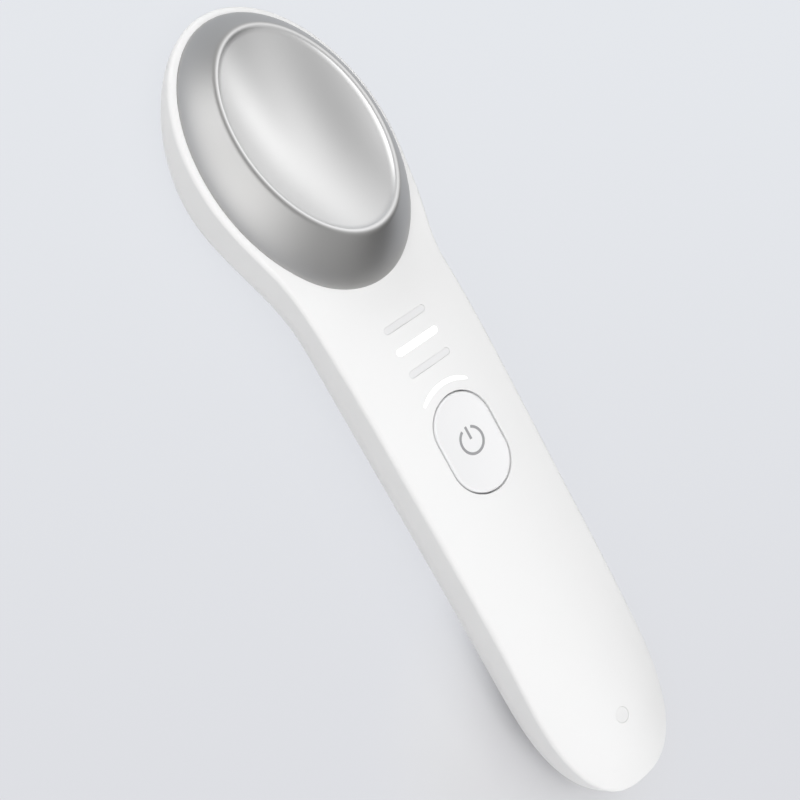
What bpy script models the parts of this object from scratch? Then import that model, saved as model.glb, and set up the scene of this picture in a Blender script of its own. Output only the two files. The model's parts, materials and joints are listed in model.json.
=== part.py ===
"""Warm and cool eye massager wand, built as the separate pieces it is assembled from.

The wand lies on its flat back. +X is its width, +Y runs from the tail to the head and +Z points
out of the front face. Sizes are in millimetres and are turned into metres when a mesh is made.
"""

import math

import bmesh
import bpy
from mathutils import Matrix, Vector

MM = 0.001

# Housing plan: a tail cap, a slim handle, a flared neck and an oval head
BODY_LENGTH = 163.8
HEAD_HALF_WIDTH = 20.7
HEAD_CAP_LENGTH = 28.6
NECK_HALF_WIDTH = 15.7
NECK_LENGTH = 30.0
NECK_FLARE = 0.005
TAIL_HALF_WIDTH = 14.85
TAIL_CAP_LENGTH = 28.2
TAIL_FULLNESS = 2.5
TAIL_SPINE_SHARE = 0.85
HEAD_SPINE_SHARE = 0.92

# Housing depth: a flat back, and a face that bends down towards the head
BODY_DEPTH = 18.0
HEAD_TILT = math.radians(8.8)
BEND_LENGTH = 39.4
BEND_TO_HEAD = 16.2
CROWN = 2.1
CROWN_FADE = 14.0
TAIL_CROWN = 3.6
TAIL_CROWN_START = 10.0
TAIL_CROWN_FADE = 36.0
HANDLE_CORNER = 1.3
HEAD_CORNER = 1.0
TAIL_BACK = 10.4
HANDLE_BACK = 10.6
HEAD_BACK = 5.4
HEAD_BACK_BLEND = 36.0
TIP_BACK = 8.6

# Shell walls and the seam between the two shells
WALL = 1.6
HEAD_WALL = 3.4
FLOOR = 1.4
SEAM_SHARE = 0.27
TONGUE_RISE = 1.2
TONGUE_WALL = 1.0
TONGUE_HEADROOM = 0.5
SKIN_STEP = 0.2
RAMP_START = 6.0
RAMP_LENGTH = 5.0
GAP = 0.3
CUT_PAST = 2.0

# Metal cup on the head, in the head's own frame
CUP_MARGIN = 1.5
CUP_SEAT = 0.8
CUP_CLEARANCE = 0.25
CUP_WALL = 1.2
CUP_BULGE = 1.35
RIM_HEIGHT = 7.56
RIM_SHIFT = 1.6
RIM_LEAN = math.radians(4.4)
RIM_HALF_WIDTH = 13.6
RIM_HALF_LENGTH = 20.9
LIP = 0.6
BOWL_DEPTH = 5.5
CREST_SHARE = 0.55
CREST_RISE = 0.12
LEDGE_WIDTH = 2.4
GASKET_THICK = 0.6
RETAINER_THICK = 1.4
RETAINER_LAP = 0.8
RETAINER_BAND = 6.4
GASKET_INSET = 0.2
CUP_POST_RADIUS = 1.8
CUP_POST_SIDE = 0.70
CUP_POST_END = 0.60
CUP_POST_LEAN = 0.88
CUP_POST_TOP = 0.72
CUP_BITE = 0.36

# Heater and cooler stack under the bowl
MODULE_SIDE = 15.0
MODULE_THICK = 3.2
PLATE_THICK = 0.7
PELLET_INSET = 0.8
MODULE_SHIFT = -1.0
PAD_THICK = 0.5
SINK_CLEARANCE = 0.23
SINK_LENGTH = 20.0
SINK_BASE = 1.4
FIN_HEIGHT = 2.0
FIN_COUNT = 7
BEAD_RADIUS = 0.8
BEAD_OFFSET = 2.4
STACK_DROP = 2.2
BOSS_MARGIN = 0.5

# Power button and its switch
BUTTON_TO_HEAD = 61.0
BUTTON_RADIUS = 6.5
BUTTON_STRAIGHT = 6.4
BUTTON_DISH = 0.35
BUTTON_EDGE = 0.3
BUTTON_PLATE = 1.8
BUTTON_FLANGE = 1.3
FLANGE_THICK = 0.8
BUTTON_SKIRT = 1.2
BUTTON_TRAVEL = 0.4
STEM_RADIUS = 1.5
SWITCH_SIDE = 6.0
SWITCH_HEIGHT = 1.8
PLUNGER_RADIUS = 1.6
PLUNGER_RISE = 0.7
SWITCH_FLOOR = 0.4
PLUNGER_ROOM = 0.2

# Lights in the face
ARC_GAP = 2.1
ARC_STROKE = 1.0
ARC_HALF_ANGLE = math.radians(37.0)
ARC_THINNING = 0.55
MODE_FIRST = 16.6
MODE_PITCH = 4.5
MODE_COUNT = 3
MODE_LENGTH = 10.0
MODE_STROKE = 1.3
CHARGE_FROM_TAIL = 14.6
CHARGE_RADIUS = 1.5
LIGHT_GAP = 0.15
LIGHT_RECESS = 0.08
GUIDE_THICK = 1.0
GUIDE_SIDE = 1.2
GUIDE_END = 1.6
GUIDE_PIN = 0.8
GUIDE_PIN_INSET = 1.0
COLLAR_WIDTH = 0.8

# Board, its screws and its parts
BOARD_DROP = 5.8
BOARD_THICK = 1.2
BOARD_HALF_WIDTH = 12.5
BOARD_EDGE = 1.2
BOARD_TAIL_ROOM = 4.8
BOARD_HEAD_ROOM = 2.6
POST_EDGE = 2.8
POST_CLEARANCE = 0.8
TAIL_POST_ROOM = 1.2
MID_POST_ROOM = 2.2
POST_RADIUS = 2.2
SCREW_RADIUS = 0.85
SCREW_HEAD_RADIUS = 1.6
SCREW_HEAD_THICK = 1.2
SCREW_DEPTH = 2.2
LED_LENGTH = 1.6
LED_WIDTH = 0.8
LED_HEIGHT = 0.6
CONTROLLER = (0.0, 8.0, 3.0, 0.9)
CHARGER = (5.5, -4.0, 2.0, 0.8)
COIL = (-5.0, -6.0, 2.4, 2.0)

# Battery
BATTERY_THICK = 5.0
BATTERY_TAIL_ROOM = 19.3
BATTERY_HEAD_ROOM = 2.0
BATTERY_BOARD_GAP = 0.7
BATTERY_EDGE = 0.6
BATTERY_CORNER = 1.6
FOAM_THICK = 0.6
FOAM_INSET = 2.5
CRADLE_RIB = 1.2
CRADLE_RIBS = 3
CRADLE_HALF_WIDTH = 7.0
CRADLE_INSET = 5.0
FLOOR_BITE = 0.3

# Vibration motor
MOTOR_RADIUS = 3.0
MOTOR_LENGTH = 11.0
MOTOR_FROM_BATTERY = 22.0
MOTOR_NOSE_RADIUS = 1.6
MOTOR_NOSE = 0.8
MOTOR_ROUND = 0.6
SLEEVE_WALL = 0.9
SLEEVE_LENGTH = 8.0
SADDLE_FLOOR = 0.4
SADDLE_SIDE = 1.4
SADDLE_DROP = 0.6
SHAFT_RADIUS = 0.5
SHAFT_GAP = 0.08
SHAFT_REACH = 5.0
SHAFT_ROOT = 2.6
WEIGHT_RADIUS = 2.6
WEIGHT_LENGTH = 3.8
WEIGHT_GAP = 0.6
HUB_WALL = 0.7

# Charging socket in the tail
SOCKET_WIDTH = 9.0
SOCKET_HEIGHT = 3.2
SOCKET_DEPTH = 7.3
SOCKET_WALL = 0.35
SOCKET_INSET = 0.5
SOCKET_SLOT = 3.0
TONGUE_PLATE = 0.7
TONGUE_FOOT = 1.2
TONGUE_INSET = 0.3
TONGUE_SET_BACK = 0.8
WIRE_RADIUS = 0.45
LEAD_REACH = 4.0
LEAD_SLANT = 1.0
LEAD_DIP = 1.6
SOLDER_INSET = 3.0

# Mesh fineness; the shares place the cup's loops from base to rim and from middle to edge
WALL_SHARES = (0.0, 0.2, 0.4, 0.6, 0.8, 0.94)
BOWL_SHARES = (1.0, 0.85, 0.65, 0.45, 0.22, 0.0)
UNDER_BOWL_SHARES = (0.0, 0.45, 0.88)
UNDER_WALL_SHARES = (0.6, 0.3, 0.0)
CAP_STEPS = 9
HANDLE_STEPS = 4
BEND_STEPS = 5
NECK_STEPS = 8
FACE_STEPS = 3
CORNER_STEPS = 4
BACK_STEPS = 4
CUP_STEPS = 40
ROUND_STEPS = 16
MOTOR_STEPS = 20
BAR_STEPS = 12
PIN_STEPS = 10
BOARD_STEPS = 10

# Places that follow from the sizes above
TAIL_END = -BODY_LENGTH / 2
HEAD_TIP = BODY_LENGTH / 2
HEAD_Y = HEAD_TIP - HEAD_CAP_LENGTH
NECK_Y = HEAD_Y - NECK_LENGTH
TAIL_Y = TAIL_END + TAIL_CAP_LENGTH
BEND_END = HEAD_Y - BEND_TO_HEAD
BEND_START = BEND_END - BEND_LENGTH
SPINE_TAIL = TAIL_END + TAIL_SPINE_SHARE * TAIL_HALF_WIDTH
SPINE_HEAD = HEAD_TIP - HEAD_SPINE_SHARE * HEAD_HALF_WIDTH
CUP_HALF_WIDTH = HEAD_HALF_WIDTH - CUP_MARGIN
CUP_HALF_LENGTH = (HEAD_CAP_LENGTH - CUP_MARGIN) / math.cos(HEAD_TILT)
CUP_START_Y = HEAD_Y - HEAD_CAP_LENGTH + CUP_MARGIN
LEDGE_Z = -CUP_SEAT - GASKET_THICK - 2 * GAP
BUTTON_Y = HEAD_Y - BUTTON_TO_HEAD
BUTTON_HALF = BUTTON_STRAIGHT / 2
BOARD_TOP = BODY_DEPTH - BOARD_DROP
BOARD_BOTTOM = BOARD_TOP - BOARD_THICK
PART_Z = BOARD_TOP + GAP
SOLDER_Z = BOARD_BOTTOM - GAP - WIRE_RADIUS


def smooth(t):
    """Ease from 0 to 1 with level ends."""
    t = min(max(t, 0.0), 1.0)
    return t * t * (3.0 - 2.0 * t)


def mix(a, b, t):
    """Blend two values."""
    return a + (b - a) * t


def cubic(y, start, end):
    """Cubic curve between two (place, value, slope) ends."""
    (y0, v0, m0), (y1, v1, m1) = start, end
    span = y1 - y0
    t = (y - y0) / span
    return (v0 * (2 * t**3 - 3 * t**2 + 1) + v1 * (3 * t**2 - 2 * t**3)
            + span * (m0 * (t**3 - 2 * t**2 + t) + m1 * (t**3 - t**2)))


def half_width(y):
    """Half the housing's width at a place along it."""
    if y <= TAIL_Y:
        reach = min((TAIL_Y - y) / TAIL_CAP_LENGTH, 1.0)
        return TAIL_HALF_WIDTH * (1 - reach**TAIL_FULLNESS) ** (1 / TAIL_FULLNESS)
    if y <= NECK_Y:
        return cubic(y, (TAIL_Y, TAIL_HALF_WIDTH, 0.0), (NECK_Y, NECK_HALF_WIDTH, NECK_FLARE))
    if y <= HEAD_Y:
        return cubic(y, (NECK_Y, NECK_HALF_WIDTH, NECK_FLARE), (HEAD_Y, HEAD_HALF_WIDTH, 0.0))
    reach = min((y - HEAD_Y) / HEAD_CAP_LENGTH, 1.0)
    return HEAD_HALF_WIDTH * math.sqrt(1 - reach**2)


def face_height(y):
    """Height of the face along the centre line: level, then a bend, then the head's slope."""
    t = (y - BEND_START) / BEND_LENGTH
    if t <= 0:
        drop = 0.0
    elif t < 1:
        drop = t**3 - t**4 / 2
    else:
        drop = t - 0.5
    return BODY_DEPTH - BEND_LENGTH * math.tan(HEAD_TILT) * drop


def crown(y):
    """How far the face falls from its centre line to its edge."""
    handle = mix(TAIL_CROWN, CROWN, smooth((y - TAIL_END - TAIL_CROWN_START) / TAIL_CROWN_FADE))
    return handle * (1 - smooth((y - BEND_END) / CROWN_FADE + 1))


def face_at(x, y):
    """Height of the face at a place on the handle."""
    return face_height(y) - crown(y) * (x / half_width(y)) ** 2


def top_wall(y):
    """Thickness of the face, which grows into the head's ledge."""
    return mix(WALL, HEAD_WALL, smooth((y - CUP_START_Y + RAMP_START) / RAMP_LENGTH))


def back_radius(y):
    """Radius of the rounded back edge, tightest beside the cup."""
    handle = mix(TAIL_BACK, HANDLE_BACK, smooth((y - TAIL_Y) / (BUTTON_Y - TAIL_Y)))
    tip = mix(HEAD_BACK, TIP_BACK, smooth((y - HEAD_Y) / HEAD_CAP_LENGTH))
    return mix(handle, tip, smooth((y - HEAD_Y) / HEAD_BACK_BLEND + 1))


def seam_height(y):
    """Height of the seam between the shells."""
    return SEAM_SHARE * face_height(y)


class Rib:
    """One line of the housing's plan, from its outline in to the spine."""

    def __init__(self, x, y):
        self.edge = Vector((x, y))
        self.spine = Vector((0.0, min(max(y, SPINE_TAIL), SPINE_HEAD)))
        self.length = (self.spine - self.edge).length
        self.corner = mix(HANDLE_CORNER, HEAD_CORNER, smooth((y - BEND_START) / BEND_LENGTH))
        self.back = back_radius(y)
        self.fall = crown(y)
        self.lean = math.atan(2 * self.fall / self.length)
        self.seam = seam_height(y)

    def at(self, inset, z):
        """Point at a distance in from the outline."""
        place = self.edge.lerp(self.spine, inset / self.length)
        return Vector((place.x, place.y, z))

    def on_face(self, inset, below=0.0):
        """Point on the face, or below it by its own wall times a share."""
        share = 1 - inset / self.length
        point = self.at(inset, 0.0)
        point.z = face_height(point.y) - self.fall * share**2 - below * top_wall(point.y)
        return point

    def corner_start(self):
        """Distance in from the outline where the face turns into its rounded corner."""
        return self.corner * (1 - math.sin(self.lean))

    def corner_base(self):
        """Height where the rounded corner has turned straight down."""
        return self.on_face(self.corner_start()).z - self.corner * math.cos(self.lean)

    def arc_inset(self, offset, z):
        """Distance in from the outline of the rounded back edge, or of an offset of it."""
        drop = min(max((self.back - z) / (self.back - offset), 0.0), 1.0)
        return self.back - (self.back - offset) * math.sqrt(1 - drop**2)

    def arc_height(self, offset, inset):
        """Height of the rounded back edge, or of an offset of it, at a distance in."""
        share = min(max((self.back - inset) / (self.back - offset), 0.0), 1.0)
        return self.back - (self.back - offset) * math.sqrt(1 - share**2)

    def back_edge(self, offset, top, bottom):
        """Points down the rounded back edge, from one height to another."""
        radius = self.back - offset
        first = math.asin(max(self.back - top, 0.0) / radius)
        last = math.asin((self.back - bottom) / radius)
        angles = [mix(first, last, k / BACK_STEPS) for k in range(BACK_STEPS + 1)]
        return [self.at(self.back - radius * math.cos(a), self.back - radius * math.sin(a))
                for a in angles]

    def outside(self, bottom):
        """Outer profile: across the face, round its corner and down the wall."""
        points = [self.on_face(mix(self.length, self.corner_start(), k / FACE_STEPS))
                  for k in range(FACE_STEPS + 1)]
        for k in range(1, CORNER_STEPS + 1):
            angle = (math.pi / 2 - self.lean) * (1 - k / CORNER_STEPS)
            points.append(self.at(self.corner * (1 - math.cos(angle)),
                                  self.corner_base() + self.corner * math.sin(angle)))
        return points + self.back_edge(0.0, self.back, bottom)

    def inside(self, bottom):
        """Inner profile of the front shell, one wall in from the outer one."""
        ceiling = self.on_face(WALL, 1.0).z
        start = self.arc_inset(WALL, ceiling)
        points = [self.on_face(mix(self.length, start, k / FACE_STEPS), 1.0)
                  for k in range(FACE_STEPS)]
        points.append(self.at(start, ceiling))
        return points + self.back_edge(WALL, min(self.back, ceiling - SKIN_STEP), bottom)

    def tray(self):
        """Profile of the rear shell: flat back, rounded edge, tongue and floor."""
        top = self.seam - GAP / 2
        points = [self.at(self.length, 0.0)] + self.back_edge(0.0, top, 0.0)[::-1]
        ceiling = self.on_face(WALL, 1.0).z
        crest = min(self.seam + TONGUE_RISE, ceiling - TONGUE_HEADROOM)
        foot_inset = self.arc_inset(WALL, top) + GAP
        crest_inset = self.arc_inset(WALL, crest) + GAP
        inner = crest_inset + TONGUE_WALL
        points += [self.at(foot_inset, top), self.at(crest_inset, crest), self.at(inner, crest)]
        points += self.back_edge(FLOOR, self.arc_height(FLOOR, inner), FLOOR)
        return points + [self.at(self.length, FLOOR)]


def plan_ribs():
    """Ribs all round the housing, anticlockwise from the tail."""
    turns = [math.pi / 2 * k / CAP_STEPS for k in range(CAP_STEPS + 1)]
    power = 2 / TAIL_FULLNESS
    side = [(TAIL_HALF_WIDTH * math.sin(a) ** power,
             TAIL_Y - TAIL_CAP_LENGTH * math.cos(a) ** power) for a in turns]
    side[-1] = (TAIL_HALF_WIDTH, TAIL_Y)
    for start, end, steps in ((TAIL_Y, BEND_START, HANDLE_STEPS), (BEND_START, NECK_Y, BEND_STEPS),
                              (NECK_Y, HEAD_Y, NECK_STEPS)):
        places = [mix(start, end, k / steps) for k in range(1, steps + 1)]
        side += [(half_width(y), y) for y in places]
    side += [(HEAD_HALF_WIDTH * math.cos(a), HEAD_Y + HEAD_CAP_LENGTH * math.sin(a))
             for a in turns[1:-1]]
    side.append((0.0, HEAD_TIP))
    mirrored = [(-x, y) for x, y in side[-2:0:-1]]
    return [Rib(x, y) for x, y in side + mirrored]


# Mesh helpers

def clear_scene():
    """Start from an empty scene."""
    for item in list(bpy.data.objects):
        bpy.data.objects.remove(item, do_unlink=True)


def finish_mesh(bm):
    """Weld shared points and turn every face outwards."""
    bmesh.ops.remove_doubles(bm, verts=bm.verts, dist=1e-4)
    bmesh.ops.recalc_face_normals(bm, faces=bm.faces)
    return bm


def skin(bm, loops, start_cap=True, end_cap=True):
    """Join equal loops of points into one closed body."""
    rings = [[bm.verts.new(p) for p in loop] for loop in loops]
    count = len(rings[0])
    for low, high in zip(rings, rings[1:]):
        for i in range(count):
            j = (i + 1) % count
            bm.faces.new((low[i], low[j], high[j], high[i]))
    if start_cap:
        bm.faces.new(rings[0][::-1])
    if end_cap:
        bm.faces.new(rings[-1])
    return bm


def level(height, x, y):
    """Height at a place, given as a number or as a function of the place."""
    return height(x, y) if callable(height) else height


def oval(half_x, half_y, z, shift=0.0, lean=0.0, points=CUP_STEPS):
    """Oval loop; lean tips it about its own cross line."""
    angles = [2 * math.pi * k / points for k in range(points)]
    slope = math.tan(lean)
    return [Vector((half_x * math.cos(a), shift + half_y * math.sin(a),
                    z - slope * half_y * math.sin(a))) for a in angles]


def circle(radius, z, x=0.0, y=0.0, points=ROUND_STEPS):
    """Round loop about the Z axis."""
    angles = [2 * math.pi * k / points for k in range(points)]
    return [Vector((x + radius * math.cos(a), y + radius * math.sin(a), z)) for a in angles]


def oblong(radius, half_straight, place, height, points=ROUND_STEPS):
    """Loop with straight sides along Y and round ends; height is a number or a function."""
    loop = []
    for end in (1, -1):
        for k in range(points // 2 + 1):
            a = math.pi * k / (points // 2) + (0.0 if end > 0 else math.pi)
            x = radius * math.cos(a)
            y = place + end * half_straight + radius * math.sin(a)
            loop.append(Vector((x, y, level(height, x, y))))
    return loop


def rectangle(half_x, half_y, z, x=0.0, y=0.0, corner=0.0):
    """Rectangular loop, with rounded corners when a radius is given."""
    if corner <= 0:
        return [Vector((x + i * half_x, y + j * half_y, z))
                for i, j in ((1, -1), (1, 1), (-1, 1), (-1, -1))]
    loop = []
    for turn, (i, j) in enumerate(((1, 1), (-1, 1), (-1, -1), (1, -1))):
        for k in range(4):
            a = math.pi / 2 * (turn + k / 3)
            loop.append(Vector((x + i * (half_x - corner) + corner * math.cos(a),
                                y + j * (half_y - corner) + corner * math.sin(a), z)))
    return loop


def along_y(loop):
    """Turn a loop drawn in X, Y at height z so that it faces along Y instead."""
    return [Vector((p.x, p.z, p.y)) for p in loop]


def block(bm, low, high):
    """Box between two corners."""
    (x0, y0, z0), (x1, y1, z1) = low, high
    base = rectangle((x1 - x0) / 2, (y1 - y0) / 2, z0, (x0 + x1) / 2, (y0 + y1) / 2)
    return skin(bm, [base, [Vector((p.x, p.y, z1)) for p in base]])


def disc(bm, radius, z0, z1, x=0.0, y=0.0, points=ROUND_STEPS):
    """Upright cylinder."""
    return skin(bm, [circle(radius, z0, x, y, points), circle(radius, z1, x, y, points)])


def screw(length):
    """Pan-head screw standing on the underside of its head, with its shank along +Z."""
    levels = ((0.7 * SCREW_HEAD_RADIUS, -SCREW_HEAD_THICK),
              (SCREW_HEAD_RADIUS, -0.55 * SCREW_HEAD_THICK), (SCREW_HEAD_RADIUS, 0.0),
              (SCREW_RADIUS, 0.0), (SCREW_RADIUS, length - 0.4), (0.6 * SCREW_RADIUS, length))
    return skin(bmesh.new(), [circle(r, z, points=PIN_STEPS) for r, z in levels])


def twin_lead(path):
    """Two wires side by side in one sheath, along a path in the plane of symmetry."""
    outline = [(1, 0), (0.5, 0.87), (-0.5, 0.87), (-1, 0), (-0.5, -0.87), (0.5, -0.87)]
    loops = []
    for k, place in enumerate(path):
        ahead = (path[min(k + 1, len(path) - 1)] - path[max(k - 1, 0)]).normalized()
        up = Vector((1, 0, 0)).cross(ahead)
        loops.append([place + WIRE_RADIUS * Vector((2 * u, v * up.y, v * up.z))
                      for u, v in outline])
    return skin(bmesh.new(), loops)


def bend_path(points, steps=4):
    """Smooth route through a few points, with level ends between them."""
    route = [points[0]]
    for k in range(1, len(points) - 1):
        before, here, after = points[k - 1], points[k], points[k + 1]
        enter, leave = before.lerp(here, 0.6), here.lerp(after, 0.4)
        for i in range(steps + 1):
            t = i / steps
            route.append(enter.lerp(here, t).lerp(here.lerp(leave, t), t))
    return route + [points[-1]]


def material(name, colour, roughness, metallic=0.0):
    """Principled material."""
    made = bpy.data.materials.new(name)
    made.use_nodes = True
    made.diffuse_color = (*colour, 1.0)
    shader = made.node_tree.nodes["Principled BSDF"]
    shader.inputs["Base Color"].default_value = (*colour, 1.0)
    shader.inputs["Roughness"].default_value = roughness
    shader.inputs["Metallic"].default_value = metallic
    return made


def place_object(name, bm, finish=None, parent=None, origin=(0.0, 0.0, 0.0)):
    """Turn a body drawn in millimetres into an object whose origin is at the given place."""
    finish_mesh(bm)
    bmesh.ops.transform(bm, matrix=Matrix.Scale(MM, 4) @ Matrix.Translation(-Vector(origin)),
                        verts=bm.verts)
    mesh = bpy.data.meshes.new(name)
    bm.to_mesh(mesh)
    bm.free()
    if finish:
        mesh.materials.append(finish)
    return link_mesh(name, mesh, parent, origin)


def link_mesh(name, mesh, parent, origin):
    """Put an object that shows a mesh at a place."""
    made = bpy.data.objects.new(name, mesh)
    bpy.context.scene.collection.objects.link(made)
    made.location = Vector(origin) * MM
    made.parent = parent
    return made


def place_copies(name, bm, finish, spots, parent=None):
    """Place one shape, drawn about its own origin, at each of several spots."""
    first = place_object(f"{name}_1", bm, finish, parent)
    first.location = Vector(spots[0]) * MM
    for k, spot in enumerate(spots[1:], 2):
        link_mesh(f"{name}_{k}", first.data, parent, spot)


def join_shape(target, bm, operation, parent=None):
    """Add a shape to an object, or cut it away."""
    tool = place_object(f"{target.name}_{operation.lower()}_{len(target.modifiers)}", bm,
                        parent=parent)
    tool.hide_render = True
    tool.display_type = "WIRE"
    step = target.modifiers.new(operation.title(), "BOOLEAN")
    step.operation = operation
    step.solver = "EXACT"
    step.object = tool


# Places shared by several pieces

def board_posts():
    """Places of the posts that the board is screwed to."""
    spots = []
    tail_y = battery_span()[0] - GAP - SCREW_HEAD_RADIUS - TAIL_POST_ROOM
    button_side = BUTTON_RADIUS + BUTTON_FLANGE + POST_RADIUS + POST_CLEARANCE
    places = ((tail_y, board_half(tail_y) - POST_EDGE),
              (battery_span()[1] + GAP + SCREW_HEAD_RADIUS + MID_POST_ROOM, button_side),
              (mode_rows()[1], button_side))
    for y, x in places:
        spots += [(x, y), (-x, y)]
    return spots


def mode_rows():
    """Places of the mode lights along the face, from the button up."""
    return [BUTTON_Y + MODE_FIRST + MODE_PITCH * k for k in range(MODE_COUNT)]


def board_half(y):
    """Half the board's width, held clear of the housing's wall."""
    return min(BOARD_HALF_WIDTH, half_width(y) - WALL - BOARD_EDGE)


def board_span():
    """Tail and head ends of the board."""
    return TAIL_END + BOARD_TAIL_ROOM, mode_rows()[-1] + BOARD_HEAD_ROOM


def battery_span():
    """Tail and head ends of the battery, which fills the handle behind the button."""
    head = BUTTON_Y - BUTTON_HALF - BUTTON_RADIUS - BATTERY_HEAD_ROOM
    return TAIL_END + BATTERY_TAIL_ROOM, head


def battery_base():
    """Height of the battery's underside, set by the board above it."""
    return BOARD_BOTTOM - BATTERY_BOARD_GAP - BATTERY_THICK


def tray_half(y, z):
    """Half the room between the rear shell's tongues at a height."""
    rib = Rib(half_width(y), y)
    return rib.length - rib.arc_inset(WALL, z) - GAP - TONGUE_WALL


def motor_axis_z():
    """Height of the motor's axis, one sleeve above the floor."""
    return FLOOR + GAP + SADDLE_FLOOR + MOTOR_RADIUS + GAP + SLEEVE_WALL


def motor_start_y():
    """Tail end of the motor, ahead of the battery."""
    return battery_span()[1] + MOTOR_FROM_BATTERY


def socket_z():
    """Height of the socket's centre, under the board."""
    return BOARD_BOTTOM - GAP - SOCKET_HEIGHT / 2


def socket_mouth_y():
    """Tail end of the socket, just inside the housing's end."""
    tail = Rib(0.0, TAIL_END)
    return TAIL_END + tail.arc_inset(0.0, socket_z() - SOCKET_HEIGHT / 2) + SOCKET_INSET


def rim_height(y):
    """Height of the cup's rim over the head plane at a place along the head."""
    return RIM_HEIGHT - math.tan(RIM_LEAN) * (y - RIM_SHIFT)


def bowl_height(x, y):
    """Height of the bowl's surface over the head plane."""
    reach = (x / RIM_HALF_WIDTH) ** 2 + ((y - RIM_SHIFT) / RIM_HALF_LENGTH) ** 2
    return rim_height(y) - BOWL_DEPTH * (1 - reach)


def cup_posts():
    """Places of the screw posts under the cup."""
    x = CUP_POST_SIDE * (CUP_HALF_WIDTH - LEDGE_WIDTH - POST_RADIUS)
    y = CUP_POST_END * (CUP_HALF_LENGTH - LEDGE_WIDTH - POST_RADIUS)
    return [(i * x, j * y) for i in (1, -1) for j in (1, -1)]


def retainer_top():
    """Height of the retainer's upper face under the ledge."""
    return -HEAD_WALL - GAP


# Housing

def build_front_shell(finish, head):
    """Front shell: the face and side walls in one moulding, with its posts and openings."""
    ribs = plan_ribs()
    profiles = [rib.outside(rib.seam + GAP / 2) + rib.inside(rib.seam + GAP / 2)[::-1]
                for rib in ribs]
    bm = skin(bmesh.new(), list(zip(*profiles)), False, False)
    shell = place_object("front_shell", bm, finish)

    posts = bmesh.new()
    for x, y in board_posts():
        disc(posts, POST_RADIUS, BOARD_TOP + GAP, face_at(x, y) - WALL / 2, x, y)
    join_shape(shell, posts, "UNION")

    cuts = bmesh.new()
    high = BODY_DEPTH + CUT_PAST
    low = BOARD_TOP + CUT_PAST
    for x, y in board_posts():
        disc(cuts, SCREW_RADIUS + GAP, BOARD_TOP, BOARD_TOP + GAP + SCREW_DEPTH, x, y, PIN_STEPS)
    skin(cuts, [oblong(BUTTON_RADIUS + GAP, BUTTON_HALF, BUTTON_Y, z) for z in (low, high)])
    skin(cuts, [arc_outline(LIGHT_GAP, z) for z in (low, high)])
    for y in mode_rows():
        skin(cuts, [mode_outline(y, LIGHT_GAP, z) for z in (low, high)])
    charge_y = TAIL_END + CHARGE_FROM_TAIL
    disc(cuts, CHARGE_RADIUS + LIGHT_GAP, low, high, 0.0, charge_y)
    slot = (TAIL_END - CUT_PAST, socket_mouth_y() + SOCKET_SLOT)
    skin(cuts, [along_y(socket_outline(GAP, y)) for y in slot])
    join_shape(shell, cuts, "DIFFERENCE")

    opening = bmesh.new()
    wide = (CUP_HALF_WIDTH + CUP_CLEARANCE, CUP_HALF_LENGTH + CUP_CLEARANCE)
    slim = (CUP_HALF_WIDTH - LEDGE_WIDTH, CUP_HALF_LENGTH - LEDGE_WIDTH)
    skin(opening, [oval(*slim, -HEAD_WALL - CUT_PAST), oval(*slim, LEDGE_Z),
                   oval(*wide, LEDGE_Z), oval(*wide, RIM_HEIGHT)])
    join_shape(shell, opening, "DIFFERENCE", head)
    return shell


def build_rear_shell(finish):
    """Rear shell: a shallow tray with a tongue, battery ribs and a motor cradle."""
    bm = skin(bmesh.new(), list(zip(*[rib.tray() for rib in plan_ribs()])), False, False)
    shell = place_object("rear_shell", bm, finish)

    ribs = bmesh.new()
    tail, head = battery_span()
    top = battery_base() - FOAM_THICK - 2 * GAP
    for k in range(CRADLE_RIBS):
        y = mix(tail + CRADLE_INSET, head - CRADLE_INSET, k / (CRADLE_RIBS - 1))
        block(ribs, (-CRADLE_HALF_WIDTH, y - CRADLE_RIB / 2, FLOOR - FLOOR_BITE),
              (CRADLE_HALF_WIDTH, y + CRADLE_RIB / 2, top))
    start = motor_start_y() + (MOTOR_LENGTH - SLEEVE_LENGTH) / 2 + GAP
    reach = SLEEVE_LENGTH - 2 * GAP
    width = MOTOR_RADIUS + GAP + SLEEVE_WALL + SADDLE_SIDE
    block(ribs, (-width, start, FLOOR - FLOOR_BITE),
          (width, start + reach, motor_axis_z() - SADDLE_DROP))
    join_shape(shell, ribs, "UNION")

    groove = bmesh.new()
    radius = MOTOR_RADIUS + SLEEVE_WALL + 2 * GAP
    skin(groove, [along_y(circle(radius, y, 0.0, motor_axis_z(), MOTOR_STEPS))
                  for y in (start - CUT_PAST, start + reach + CUT_PAST)])
    join_shape(shell, groove, "DIFFERENCE")
    return shell


# Cup and what is under it

def cup_wall(share, inset=0.0):
    """Loop on the cup's outer wall, from its base (0) to its rim (1)."""
    turn = share**CUP_BULGE
    half_x = mix(CUP_HALF_WIDTH, RIM_HALF_WIDTH + LIP, turn) - inset
    half_y = mix(CUP_HALF_LENGTH, RIM_HALF_LENGTH + LIP, turn) - inset
    return oval(half_x, half_y, RIM_HEIGHT * share, RIM_SHIFT * share, RIM_LEAN * share)


def bowl_loop(share, below=0.0):
    """Loop in the bowl at a share of the rim's size."""
    flat = oval(RIM_HALF_WIDTH * share, RIM_HALF_LENGTH * share, 0.0, RIM_SHIFT)
    return [Vector((p.x, p.y, bowl_height(p.x, p.y) - below)) for p in flat]


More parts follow.
